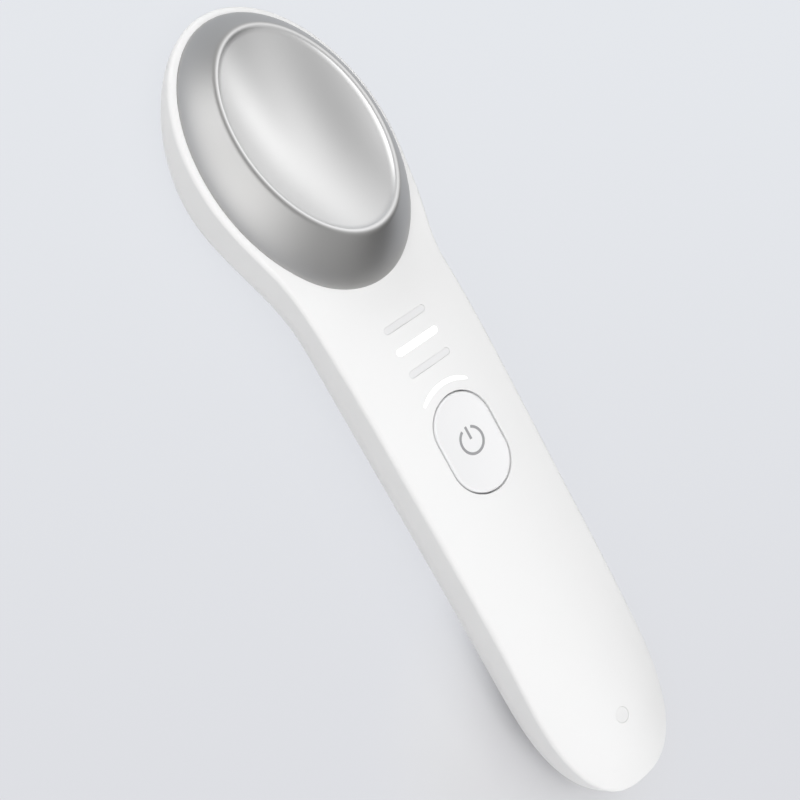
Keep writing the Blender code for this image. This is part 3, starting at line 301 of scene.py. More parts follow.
@dataclass(frozen=True)
class Finish:
    """A procedural material: a colour that drifts a little, a roughness and a fine grain."""

    name: str
    colour: Colour
    roughness: float
    drift: float = 0.04
    drift_scale: float = 60.0
    grain_scale: float = 5000.0
    grain_detail: float = 1.0
    grain: float = 0.04
    grain_depth: float = 2e-5
    metallic: float = 0.0
    rough_spread: float = 0.06

    def make(self) -> bpy.types.Material:
        """Build the material.

        Returns:
            The new material.
        """
        made = bpy.data.materials.new(self.name)
        made.diffuse_color = (*self.colour, 1.0)
        graph = ShaderGraph(made)
        graph.close(graph.add("ShaderNodeBsdfPrincipled", None, self.sockets(graph)))
        return made

    def sockets(self, graph: ShaderGraph) -> dict[str, Any]:
        """Values and flows of the Principled shader.

        Args:
            graph: The material's graph.

        Returns:
            Sockets by name.
        """
        dark = dimmed(self.colour, 1 - self.drift)
        colour = graph.tint(graph.noise(self.drift_scale), dark, self.colour)
        grain = graph.noise(self.grain_scale, self.grain_detail)
        return self.grained(graph, colour, self.roughness, grain)

    def grained(self, graph: ShaderGraph, colour: Flow, rough: Union[float, Flow],
                grain: Flow) -> dict[str, Any]:
        """Sockets of a surface whose grain shows in its relief and in its roughness.

        Args:
            graph: The material's graph.
            colour: Its colour.
            rough: Its roughness, on average.
            grain: Its grain.

        Returns:
            Sockets by name.
        """
        return {
            "Base Color": colour,
            "Roughness": rough + self.rough_spread * (grain - NOISE_MIDDLE),
            "Metallic": self.metallic,
            "Normal": graph.bump(grain, self.grain, self.grain_depth),
        }


@dataclass(frozen=True)
class Moulding(Finish):
    """Satin injection moulding with a fine spark texture."""

    coat: float = 0.0
    coat_roughness: float = 0.3

    def sockets(self, graph: ShaderGraph) -> dict[str, Any]:
        """Add a thin sheen to the plain finish."""
        return {**super().sockets(graph), "Coat Weight": self.coat,
                "Coat Roughness": self.coat_roughness}


@dataclass(frozen=True)
class SatinMetal(Finish):
    """Bead-blasted metal: a bright bowl, and a wall of the same metal given a greyer colour as
    painted shade.
    """

    metallic: float = 1.0
    # Painted shade: the wall's colour is the bowl's metal darkened to stand for the shade on the
    # wall.
    wall: Colour = (0.5, 0.5, 0.5)
    wall_rough: float = 0.4

    def sockets(self, graph: ShaderGraph) -> dict[str, Any]:
        """Blend the bowl's metal and the wall's painted shade by the mesh's own share of bowl.

        Args:
            graph: The material's graph.

        Returns:
            Sockets by name.
        """
        bowl = graph.add("ShaderNodeAttribute", {"attribute_name": BOWL_SHARE}, None, "Fac")
        rough = self.wall_rough + (self.roughness - self.wall_rough) * bowl
        # Painted shade: the darker wall colour wherever the share of bowl is 0.
        base = graph.tint(bowl, self.wall, self.colour)
        cloudy = graph.tint(self.drift * graph.noise(self.drift_scale), base, BLACK)
        grain = graph.noise(self.grain_scale, self.grain_detail)
        return self.grained(graph, cloudy, rough, grain)


@dataclass(frozen=True)
class Lit(Finish):
    """Light guide that glows evenly."""

    glow: Colour = (1.0, 1.0, 1.0)
    dim: float = 0.96
    strength: float = 0.9

    def sockets(self, graph: ShaderGraph) -> dict[str, Any]:
        """Add the glow, which is a touch weaker where the guide is cloudy."""
        glow = graph.tint(graph.noise(self.drift_scale), dimmed(self.glow, self.dim), self.glow)
        return {**super().sockets(graph), "Emission Strength": self.strength,
                "Emission Color": glow}


@dataclass(frozen=True)
class LitRow(Finish):
    """Light guide whose middle window glows while the others are unlit."""

    middle: float = 0.0
    half: float = 0.0
    edge: tuple[float, float] = (0.9, 1.1)
    strength: float = 0.9
    glow: Colour = (1.0, 1.0, 1.0)
    lit_colour: Colour = (0.9, 0.9, 0.9)

    def sockets(self, graph: ShaderGraph) -> dict[str, Any]:
        """Light the window at one place along Y.

        Args:
            graph: The material's graph.

        Returns:
            Sockets by name.
        """
        low, high = (share * self.half for share in self.edge)
        lit = 1.0 - abs(graph.place("Y") - self.middle).ramp(low, high)
        return {**super().sockets(graph), "Emission Strength": self.strength,
                "Base Color": graph.tint(lit, self.colour, self.lit_colour),
                "Emission Color": graph.tint(lit, BLACK, self.glow)}


@dataclass(frozen=True)
class Streaked(Finish):
    """Finish with fine lines along one axis, as on drawn steel, foil or wire."""

    grain_detail: float = 3.0
    stretch: tuple[float, float, float] = (1.0, 0.05, 1.0)
    streak: float = 0.12

    def sockets(self, graph: ShaderGraph) -> dict[str, Any]:
        """Draw the grain out along the chosen axis.

        Args:
            graph: The material's graph.

        Returns:
            Sockets by name.
        """
        lines = graph.noise(self.grain_scale, self.grain_detail, self.stretch)
        colour = graph.tint(lines, dimmed(self.colour, 1 - self.streak), self.colour)
        return self.grained(graph, colour, self.roughness, lines)


@dataclass(frozen=True)
class BoardFinish(Finish):
    """Solder resist over copper: a grid of tracks shows as a lighter green."""

    track: Colour = (0.06, 0.30, 0.15)
    track_width: float = 0.03
    pitch: float = 900.0
    offset: float = 0.35
    squash: float = 0.6
    relief: float = 0.2

    def sockets(self, graph: ShaderGraph) -> dict[str, Any]:
        """Draw tracks as the joints of a brick pattern."""
        bands = graph.add("ShaderNodeTexBrick", {"offset": self.offset, "squash": self.squash},
                          {"Vector": graph.spot(), "Scale": self.pitch,
                           "Mortar Size": self.track_width}, "Fac")
        return {**super().sockets(graph),
                "Base Color": graph.tint(bands, self.colour, self.track),
                "Normal": graph.bump(bands, self.relief, self.grain_depth)}


WHITE = to_linear(243, 243, 243)


def outer_finishes() -> dict[Slot, Finish]:
    """Finishes of the pieces that show."""
    return {
        Slot.FRONT: Moulding("white_moulding", WHITE, 0.42, drift=0.012, coat=0.08),
        Slot.BACK: Moulding("white_back_moulding", to_linear(240, 240, 240), 0.46, drift=0.015),
        Slot.BUTTON: Moulding("button_moulding", to_linear(243, 243, 244), 0.36, drift=0.012,
                              coat=0.12),
        # The cup's wall colour is painted shade: the bowl's metal, darker and a touch warm.
        Slot.CUP: SatinMetal("satin_cup", (0.80, 0.80, 0.80), 0.38, drift=0.06, grain=0.06,
                             wall=(0.469, 0.466, 0.461), wall_rough=0.42),
        Slot.LIT: Lit("lit_guide", (0.95, 0.95, 0.95), 0.3),
        Slot.STEEL: Streaked("bright_steel", (0.62, 0.62, 0.63), 0.3, metallic=1.0),
        Slot.DARK: Moulding("dark_moulding", (0.10, 0.10, 0.11), 0.5),
    }


def inner_finishes() -> dict[str, Finish]:
    """Finishes of the CAD nodes inside the wand, by the start of their names.

    Returns:
        Finishes by the start of a name.
    """
    steel = outer_finishes()[Slot.STEEL]
    dark = outer_finishes()[Slot.DARK]
    pad = Finish("heat_pad", (0.55, 0.60, 0.66), 0.8, drift=0.15, grain=0.2)
    rubber = Finish("soft_rubber", (0.06, 0.06, 0.065), 0.7, drift=0.2, grain=0.15)
    chip = Finish("chip_black", (0.03, 0.03, 0.035), 0.45, drift=0.3, grain=0.1)
    return {
        "switch_plunger": steel, "motor_case": steel, "motor_shaft": steel,
        "board_screw": steel, "retainer_screw": steel, "socket_shell": steel,
        "switch_body": dark, "cup_retainer": dark, "socket_tongue": dark,
        "cup_gasket": rubber, "motor_sleeve": rubber, "thermal_pad": pad, "sink_pad": pad,
        "controller_chip": chip, "charger_chip": chip, "power_coil": chip,
        "heat_sink": Streaked("sink_alloy", (0.66, 0.67, 0.68), 0.45, metallic=1.0),
        "thermoelectric_module": Finish("white_ceramic", (0.85, 0.84, 0.80), 0.5, drift=0.08),
        "thermistor": Finish("sensor_bead", (0.10, 0.08, 0.06), 0.4, drift=0.2),
        "indicator_led": Finish("lamp_lens", (0.95, 0.94, 0.88), 0.25, drift=0.1),
        "main_board": BoardFinish("green_board", (0.03, 0.18, 0.09), 0.45),
        "battery_cell": Streaked("cell_foil", (0.70, 0.71, 0.73), 0.35, metallic=0.6),
        "battery_pad": Finish("grey_foam", (0.25, 0.25, 0.26), 0.9, drift=0.4,
                              drift_scale=1500.0, grain=0.5, grain_scale=2500.0),
        "motor_weight": Streaked("weight_brass", (0.70, 0.52, 0.25), 0.35, metallic=1.0),
        "battery_lead": Finish("red_wire", (0.55, 0.03, 0.03), 0.5, drift=0.15),
        "motor_lead": Finish("black_wire", (0.03, 0.03, 0.03), 0.5, drift=0.2),
        "module_lead": Finish("module_wire", (0.03, 0.03, 0.03), 0.5, drift=0.2),
    }


# Mesh helpers


def skin(bm: bmesh.types.BMesh, loops: Sequence[Sequence[Vector]],
         caps: bool = True) -> bmesh.types.BMesh:
    """Join equal loops of points into one body.

    Args:
        bm: The mesh to add to.
        loops: Closed loops with the same number of points.
        caps: Close the first and the last loop.

    Returns:
        The same mesh.
    """
    rings = [[bm.verts.new(p) for p in loop] for loop in loops]
    count = len(rings[0])
    for low, high in zip(rings, rings[1:]):
        for i in range(count):
            j = (i + 1) % count
            bm.faces.new((low[i], low[j], high[j], high[i]))
    if caps:
        bm.faces.new(rings[0][::-1])
        bm.faces.new(rings[-1])
    return bm


def to_mesh(name: str, bm: bmesh.types.BMesh) -> bpy.types.Mesh:
    """Weld a body drawn in millimetres, turn its faces outwards and make it a mesh in metres.

    Args:
        name: The mesh's name.
        bm: The body, which is used up.

    Returns:
        The mesh.
    """
    bmesh.ops.remove_doubles(bm, verts=bm.verts, dist=WELD)
    bmesh.ops.dissolve_degenerate(bm, edges=bm.edges, dist=WELD)
    bmesh.ops.recalc_face_normals(bm, faces=bm.faces)
    bmesh.ops.scale(bm, vec=(MM, MM, MM), verts=bm.verts)
    mesh = bpy.data.meshes.new(name)
    bm.to_mesh(mesh)
    bm.free()
    return mesh


def add_object(name: str, data: bpy.types.ID) -> bpy.types.Object:
    """Show a mesh, lamp or camera as an object at the origin.

    Args:
        name: The object's name.
        data: What it shows.

    Returns:
        The object.
    """
    made = bpy.data.objects.new(name, data)
    bpy.context.scene.collection.objects.link(made)
    return made


def baked(made: bpy.types.Object) -> bpy.types.Mesh:
    """The object's evaluated mesh, as a plain mesh.

    Args:
        made: An object with modifiers.

    Returns:
        The new mesh.
    """
    graph = bpy.context.evaluated_depsgraph_get()
    graph.update()
    return bpy.data.meshes.new_from_object(made.evaluated_get(graph))


def cut_away(mesh: bpy.types.Mesh, cutters: Sequence[bmesh.types.BMesh]) -> bpy.types.Mesh:
    """Cut bodies drawn in millimetres out of a mesh.

    Args:
        mesh: The mesh to cut, which is left as it is.
        cutters: Closed bodies.

    Returns:
        The cut mesh.
    """
    body = add_object("cut_body", mesh)
    tools = []
    for k, bm in enumerate(cutters):
        tool = add_object(f"cut_tool_{k}", to_mesh(f"cut_tool_{k}", bm))
        step = body.modifiers.new("Cut", "BOOLEAN")
        step.operation = "DIFFERENCE"
        step.solver = "EXACT"
        step.object = tool
        tools.append(tool)
    made = baked(body)
    for item in (body, *tools):
        bpy.data.objects.remove(item, do_unlink=True)
    return made


def smooth_shading(mesh: bpy.types.Mesh, angle: float) -> bpy.types.Mesh:
    """Shade smooth, with edges over an angle in degrees left sharp.

    Args:
        mesh: The mesh to shade.
        angle: Least angle of a sharp edge, in degrees.

    Returns:
        The same mesh.
    """
    mesh.shade_smooth()
    mesh.set_sharp_from_angle(angle=math.radians(angle))
    return mesh


def carry_normals(mesh: bpy.types.Mesh, source: bpy.types.Mesh, reach: float = 2e-5,
                  lean: float = 0.97) -> None:
    """Give faces that lie on a smooth surface that surface's own shading.

    Args:
        mesh: Cut mesh whose large faces would shade unevenly.
        source: The same surface before it was cut.
        reach: How far off the surface a face's corner may lie, in metres.
        lean: Least cosine between the face's and the surface's directions.
    """
    whole = bmesh.new()
    whole.from_mesh(source)
    whole.faces.ensure_lookup_table()
    tree = BVHTree.FromBMesh(whole)

    def surface_normal(point: Vector) -> Optional[Vector]:
        """Smooth direction of the surface at a point, or None off it.

        Args:
            point: A place, in metres.

        Returns:
            The direction, or None.
        """
        spot, _, index, distance = tree.find_nearest(point)
        if spot is None or distance > reach:
            return None
        corners = whole.faces[index].verts
        shares = poly_3d_calc([v.co for v in corners], spot)
        return sum((v.normal * s for v, s in zip(corners, shares)), Vector()).normalized()

    known: dict[int, Optional[Vector]] = {}
    own = [Vector(c.vector) for c in mesh.corner_normals]
    for face in mesh.polygons:
        for corner in face.loop_indices:
            index = mesh.loops[corner].vertex_index
            if index not in known:
                known[index] = surface_normal(mesh.vertices[index].co)
            found = known[index]
            if found is not None and found.dot(face.normal) > lean:
                own[corner] = found
    mesh.normals_split_custom_set([tuple(n) for n in own])
    whole.free()


def laid(loop: Loop, height: Height) -> Loop:
    """The loop, laid on a height that is a number or a function of the place."""
    return [Vector((p.x, p.y, level(height, p.x, p.y))) for p in loop]


def oblong(radius: float, half_straight: float, place: float, height: Height,
           points: int = 96) -> Loop:
    """Loop with straight sides along Y and round ends.

    Args:
        radius: Radius of the ends.
        half_straight: Half the length of the straight sides.
        place: Y of its middle.
        height: Height, as a number or a function.
        points: Points of the two ends together.

    Returns:
        The loop.
    """
    loop = []
    half = points // 2
    for end in (1, -1):
        for k in range(half + 1):
            a = math.pi * k / half + (0.0 if end > 0 else math.pi)
            x = radius * math.cos(a)
            y = place + end * half_straight + radius * math.sin(a)
            loop.append(Vector((x, y, level(height, x, y))))
    return loop


def oval(half_x: float, half_y: float, z: float, shift: float = 0.0, lean: float = 0.0,
         points: int = 192) -> Loop:
    """Oval loop about a line along Z.

    Args:
        half_x: Half its width.
        half_y: Half its length.
        z: Height of its middle.
        shift: Y of its middle.
        lean: Angle that tips it about its own cross line.
        points: Points of the loop.

    Returns:
        The loop.
    """
    angles = [2 * math.pi * k / points for k in range(points)]
    slope = math.tan(lean)
    return [Vector((half_x * math.cos(a), shift + half_y * math.sin(a),
                    z - slope * half_y * math.sin(a))) for a in angles]


# Geometry Nodes


# A bar's end radius over its stroke, just under half.
ROUND_SHARE = 0.499
ROUND_STEPS = 8
BAR_POINTS = 72
# Points of a bar closer than this are welded, in metres.
BAR_WELD = 1e-6
ARC_POINTS = 96
LINE_POINTS = 12
# How late a strip thins towards its tips.
TIP_POWER = 4.0


class ShapeTree(NodeGraph):
    """A Geometry Nodes tree with named inputs, and the mesh that it makes."""

    def __init__(self, name: str, sizes: Sequence[str], counts: Sequence[str] = ()) -> None:
        """Start a tree that takes a material and named values.

        Args:
            name: The tree's name.
            sizes: Names of its lengths, angles and shares.
            counts: Names of its whole numbers.
        """
        super().__init__(bpy.data.node_groups.new(name, "GeometryNodeTree"))
        face = self.tree.interface
        face.new_socket("Geometry", in_out="OUTPUT", socket_type="NodeSocketGeometry")
        kinds = {**dict.fromkeys(counts, "NodeSocketInt"),
                 **dict.fromkeys(sizes, "NodeSocketFloat"), "Material": "NodeSocketMaterial"}
        self.ids = {key: face.new_socket(key, in_out="INPUT", socket_type=kind).identifier
                    for key, kind in kinds.items()}

    def given(self, name: str) -> Flow:
        """One of the tree's inputs."""
        return self.add("NodeGroupInput", None, None, name)

    def along(self, axis: str, value: Any) -> Flow:
        """A vector along one axis, X, Y or Z."""
        return self.add("ShaderNodeCombineXYZ", None, {axis: value})

    def close(self, shape: Flow) -> None:
        """End the tree in Realize Instances and Set Material.

        Args:
            shape: The finished shape.
        """
        whole = self.add("GeometryNodeRealizeInstances", None, {"Geometry": shape})
        dressed = self.add("GeometryNodeSetMaterial", None,
                           {"Geometry": whole, "Material": self.given("Material")})
        self.add("NodeGroupOutput", None, {"Geometry": dressed})

    def make(self, values: dict[str, Any]) -> bpy.types.Mesh:
        """Run the tree and bake its result.

        Args:
            values: The inputs' values, by name.

        Returns:
            A plain mesh.
        """
        holder = add_object(self.tree.name, bpy.data.meshes.new(self.tree.name))
        step = holder.modifiers.new("Shape", "NODES")
        step.node_group = self.tree
        for name, value in values.items():
            step[self.ids[name]] = value
        made = baked(holder)
        holder.modifiers.remove(step)
        bpy.data.objects.remove(holder, do_unlink=True)
        return made


def bar_row_tree() -> ShapeTree:
    """Row of bars with round ends, a pitch apart along Y.

    Returns:
        A tree with inputs Count, First, Pitch, Length, Stroke, Depth and Material.
    """
    tree = ShapeTree("bar_row", ["First", "Pitch", "Length", "Stroke", "Depth"], ["Count"])
    box = tree.add("GeometryNodeCurvePrimitiveQuadrilateral", None,
                   {"Width": tree.given("Length"), "Height": tree.given("Stroke")})
    outline = tree.add("GeometryNodeFilletCurve", {"mode": "POLY"}, {
        "Curve": box, "Count": ROUND_STEPS, "Radius": tree.given("Stroke") * ROUND_SHARE})
    fine = tree.add("GeometryNodeResampleCurve", None, {"Curve": outline, "Count": BAR_POINTS})
    plate = tree.add("GeometryNodeFillCurve", {"mode": "NGONS"}, {"Curve": fine})
    body = tree.add("GeometryNodeExtrudeMesh", None, {
        "Mesh": plate, "Offset": tree.along("Z", tree.given("Depth")), "Offset Scale": 1.0,
        "Individual": False})
    foot = tree.add("GeometryNodeFlipFaces", None, {"Mesh": plate})
    whole = tree.add("GeometryNodeJoinGeometry", None, {"Geometry": [body, foot]})
    solid = tree.add("GeometryNodeMergeByDistance", None,
                     {"Geometry": whole, "Distance": BAR_WELD})
    line = tree.add("GeometryNodeMeshLine", None, {
        "Count": tree.given("Count"), "Start Location": tree.along("Y", tree.given("First")),
        "Offset": tree.along("Y", tree.given("Pitch"))})
    tree.close(tree.add("GeometryNodeInstanceOnPoints", None, {"Points": line, "Instance": solid}))
    return tree


def swept_arc_tree(name: str, with_bar: bool) -> ShapeTree:
    """Flat strip along an arc that may thin towards its tips, with or without a bar.

    Args:
        name: The tree's name.
        with_bar: Add a straight bar along Y.

    Returns:
        A tree with inputs Radius, Start, Sweep, Stroke, Thinning and Material, and with Bar Start
        and Bar End when there is a bar.
    """
    bar = ["Bar Start", "Bar End"] if with_bar else []
    tree = ShapeTree(name, ["Radius", "Start", "Sweep", "Stroke", "Thinning", *bar])
    arc = tree.add("GeometryNodeCurveArc", {"mode": "RADIUS"}, {
        "Resolution": ARC_POINTS, "Radius": tree.given("Radius"),
        "Start Angle": tree.given("Start"), "Sweep Angle": tree.given("Sweep")})
    share = tree.add("GeometryNodeSplineParameter", None, None, "Factor")
    thin = abs(share * 2.0 - 1.0) ** TIP_POWER * tree.given("Thinning")
    width = (1.0 - thin) * tree.given("Stroke")
    box = tree.add("GeometryNodeCurvePrimitiveQuadrilateral", None, {"Width": 1.0, "Height": 1.0})
    parts = [tree.add("GeometryNodeCurveToMesh", None, {
        "Curve": arc, "Profile Curve": box, "Scale": width, "Fill Caps": True})]
    if with_bar:
        line = tree.add("GeometryNodeCurvePrimitiveLine", None, {
            "Start": tree.along("Y", tree.given("Bar Start")),
            "End": tree.along("Y", tree.given("Bar End"))})
        fine = tree.add("GeometryNodeResampleCurve", None, {"Curve": line, "Count": LINE_POINTS})
        parts.append(tree.add("GeometryNodeCurveToMesh", None, {
            "Curve": fine, "Profile Curve": box, "Scale": tree.given("Stroke"),
            "Fill Caps": True}))
    tree.close(tree.add("GeometryNodeJoinGeometry", None, {"Geometry": parts}))
    return tree


def drape(mesh: bpy.types.Mesh, top: Height, bottom: Height) -> bpy.types.Mesh:
    """Lay a flat solid on a curved face.

    Args:
        mesh: Solid drawn about z = 0, in metres.
        top: Height of its upper side in millimetres.
        bottom: Height of its lower side in millimetres.

    Returns:
        The same mesh, with its upper and lower sides on the two heights.
    """
    middle = sum(v.co.z for v in mesh.vertices) / len(mesh.vertices)
    for vertex in mesh.vertices:
        x, y = vertex.co.x / MM, vertex.co.y / MM
        vertex.co.z = MM * level(top if vertex.co.z > middle else bottom, x, y)
    return mesh


# Sub-assemblies


@dataclass
class Assembly:
    """A group of pieces, and what dressing them needs."""

    finishes: dict[Slot, Finish] = field(default_factory=outer_finishes)
    materials: dict[str, bpy.types.Material] = field(default_factory=dict)

    def material(self, finish: Finish) -> bpy.types.Material:
        """The material of a finish, made once.

        Args:
            finish: A finish.

        Returns:
            Its material, which all its pieces share.
        """
        if finish.name not in self.materials:
            self.materials[finish.name] = finish.make()
        return self.materials[finish.name]

    def piece(self, name: str, mesh: bpy.types.Mesh, finish: Finish, body: Body,
              replaces: Iterable[str] = (), slot: Optional[Slot] = None) -> None:
        """Show a finished mesh as a piece that rides on a body.

        Args:
            name: The piece's name.
            mesh: Its mesh, in place.
            finish: Its finish.
            body: The body it rides on.
            replaces: CAD nodes that it stands for.
            slot: Not used.
        """
        mesh.materials.clear()
        mesh.materials.append(self.material(finish))
        made = add_object(name, mesh)
        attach(made, body.value)
        if replaces:
            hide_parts(*replaces)
        log.info("piece %s: %d faces on %s", name, len(mesh.polygons), body.value)


@dataclass
class Housing(Assembly):
    """The two moulded shells: a tail cap, a slim handle, a flared neck and a bent oval head."""

    crease: float = 35.0
    length: float = 163.8
    head_half: float = 20.7
    head_cap: float = 28.6
    neck_half: float = 15.7
    neck_length: float = 30.0
    neck_flare: float = 0.005
    tail_half: float = 14.85
    tail_cap: float = 28.2
    tail_fullness: float = 2.5
    tail_spine_share: float = 0.85
    head_spine_share: float = 0.92
    depth: float = 18.0
    tilt: float = math.radians(8.8)
    bend_length: float = 39.4
    bend_to_head: float = 16.2
    crown_rise: float = 2.1
    crown_fade: float = 14.0
    tail_crown: float = 3.6
    tail_crown_start: float = 10.0
    tail_crown_fade: float = 36.0
    handle_corner: float = 1.3
    head_corner: float = 1.0
    tail_back: float = 10.4
    handle_back: float = 10.6
    head_back: float = 5.4
    head_back_blend: float = 36.0
    tip_back: float = 8.6
    wall: float = 1.6
    head_wall: float = 3.4
    ramp_start: float = 6.0
    ramp_length: float = 5.0
    floor: float = 1.4
    seam_share: float = 0.27
    tongue_rise: float = 1.2
    tongue_wall: float = 1.0
    tongue_headroom: float = 0.5
    skin_step: float = 0.2
    gap: float = 0.3
    seam_round: float = 0.2
    cup_margin: float = 1.5
    button_to_head: float = 61.0
    cap_steps: int = 36
    handle_steps: int = 30
    bend_steps: int = 30
    neck_steps: int = 20
    face_steps: int = 14
    inner_steps: int = 6
    corner_steps: int = 10
    back_steps: int = 12

    def __post_init__(self) -> None:
        """Work out the places that follow from the sizes."""
        self.tail_end = -self.length / 2
        self.head_tip = self.length / 2
        self.head_y = self.head_tip - self.head_cap
        self.neck_y = self.head_y - self.neck_length
        self.tail_y = self.tail_end + self.tail_cap
        self.bend_end = self.head_y - self.bend_to_head
        self.bend_start = self.bend_end - self.bend_length
        self.spine_tail = self.tail_end + self.tail_spine_share * self.tail_half
        self.spine_head = self.head_tip - self.head_spine_share * self.head_half
        self.button_y = self.head_y - self.button_to_head

    def half_width(self, y: float) -> float:
        """Half the housing's width at a place along it.

        Args:
            y: Place along the wand.

        Returns:
            Half the width.
        """
        neck = (self.neck_y, self.neck_half, self.neck_flare)
        if y <= self.tail_y:
            reach = min((self.tail_y - y) / self.tail_cap, 1.0)
            return self.tail_half * (1 - reach**self.tail_fullness) ** (1 / self.tail_fullness)
        if y <= self.neck_y:
            return cubic(y, (self.tail_y, self.tail_half, 0.0), neck)
        if y <= self.head_y:
            return cubic(y, neck, (self.head_y, self.head_half, 0.0))
        reach = min((y - self.head_y) / self.head_cap, 1.0)
        return self.head_half * math.sqrt(1 - reach**2)

    def face_height(self, y: float) -> float:
        """Height of the face along the centre line: level, then a bend, then the head's slope.

        Args:
            y: Place along the wand.

        Returns:
            The height.
        """
        t = (y - self.bend_start) / self.bend_length
        if t <= 0:
            drop = 0.0
        elif t < 1:
            drop = t**3 - t**4 / 2
        else:
            drop = t - 0.5
        return self.depth - self.bend_length * math.tan(self.tilt) * drop

    def crown(self, y: float) -> float:
        """How far the face falls from its centre line to its edge.

        Args:
            y: Place along the wand.

        Returns:
            The fall.
        """
        start = self.tail_end + self.tail_crown_start
        share = smooth((y - start) / self.tail_crown_fade)
        handle = mix(self.tail_crown, self.crown_rise, share)
        return handle * (1 - smooth((y - self.bend_end) / self.crown_fade + 1))

    def face_at(self, x: float, y: float) -> float:
        """Height of the face at a place on the handle."""
        return self.face_height(y) - self.crown(y) * (x / self.half_width(y)) ** 2

    def below_face(self, drop: float) -> Callable[[float, float], float]:
        """Heights at a distance below the face."""
        return lambda x, y: self.face_at(x, y) - drop

    def back_radius(self, y: float) -> float:
        """Radius of the rounded back edge, tightest beside the cup.

        Args:
            y: Place along the wand.

        Returns:
            The radius.
        """
        share = smooth((y - self.tail_y) / (self.button_y - self.tail_y))
        handle = mix(self.tail_back, self.handle_back, share)
        tip = mix(self.head_back, self.tip_back, smooth((y - self.head_y) / self.head_cap))
        return mix(handle, tip, smooth((y - self.head_y) / self.head_back_blend + 1))

    def top_wall(self, y: float) -> float:
        """Thickness of the face, which grows into the head's ledge."""
        start = self.head_y - self.head_cap + self.cup_margin - self.ramp_start
        return mix(self.wall, self.head_wall, smooth((y - start) / self.ramp_length))

    def outline(self) -> list[tuple[float, float]]:
        """Plan of the housing, anticlockwise from the tail.

        Returns:
            Points of the plan.
        """
        turns = spread(0.0, math.pi / 2, self.cap_steps)
        power = 2 / self.tail_fullness
        side = [(self.tail_half * math.sin(a) ** power,
                 self.tail_y - self.tail_cap * max(math.cos(a), 0.0) ** power) for a in turns]
        for start, end, steps in ((self.tail_y, self.bend_start, self.handle_steps),
                                  (self.bend_start, self.neck_y, self.bend_steps),
                                  (self.neck_y, self.head_y, self.neck_steps)):
            side += [(self.half_width(y), y) for y in spread(start, end, steps)[1:]]
        side += [(self.head_half * math.cos(a), self.head_y + self.head_cap * math.sin(a))
                 for a in turns[1:-1]]
        side.append((0.0, self.head_tip))
        return side + [(-x, y) for x, y in side[-2:0:-1]]

    def loft(self, name: str, profile: Callable[["Rib"], Loop]) -> bpy.types.Mesh:
        """Mesh through one profile of the ribs all round the housing."""
        profiles = [profile(Rib(self, x, y)) for x, y in self.outline()]
        return to_mesh(name, skin(bmesh.new(), list(zip(*profiles)), False))

    def build_front(self, cutters: Sequence[bmesh.types.BMesh]) -> None:
        """Make the front shell: face and side walls, with its openings.

        Args:
            cutters: Bodies of the openings.
        """
        whole = self.loft("front_skin", Rib.front)
        whole.shade_smooth()
        cut = smooth_shading(cut_away(whole, cutters), self.crease)
        carry_normals(cut, whole)
        self.piece("front_moulding", cut, self.finishes[Slot.FRONT], Body.HOUSING,
                   ["front_shell"], Slot.FRONT)

    def build_back(self) -> None:
        """Make the rear shell, a shallow tray whose tongue fits inside the front shell."""
        mesh = smooth_shading(self.loft("back_skin", Rib.tray), self.crease)
        self.piece("back_moulding", mesh, self.finishes[Slot.BACK], Body.HOUSING,
                   ["rear_shell"], Slot.BACK)


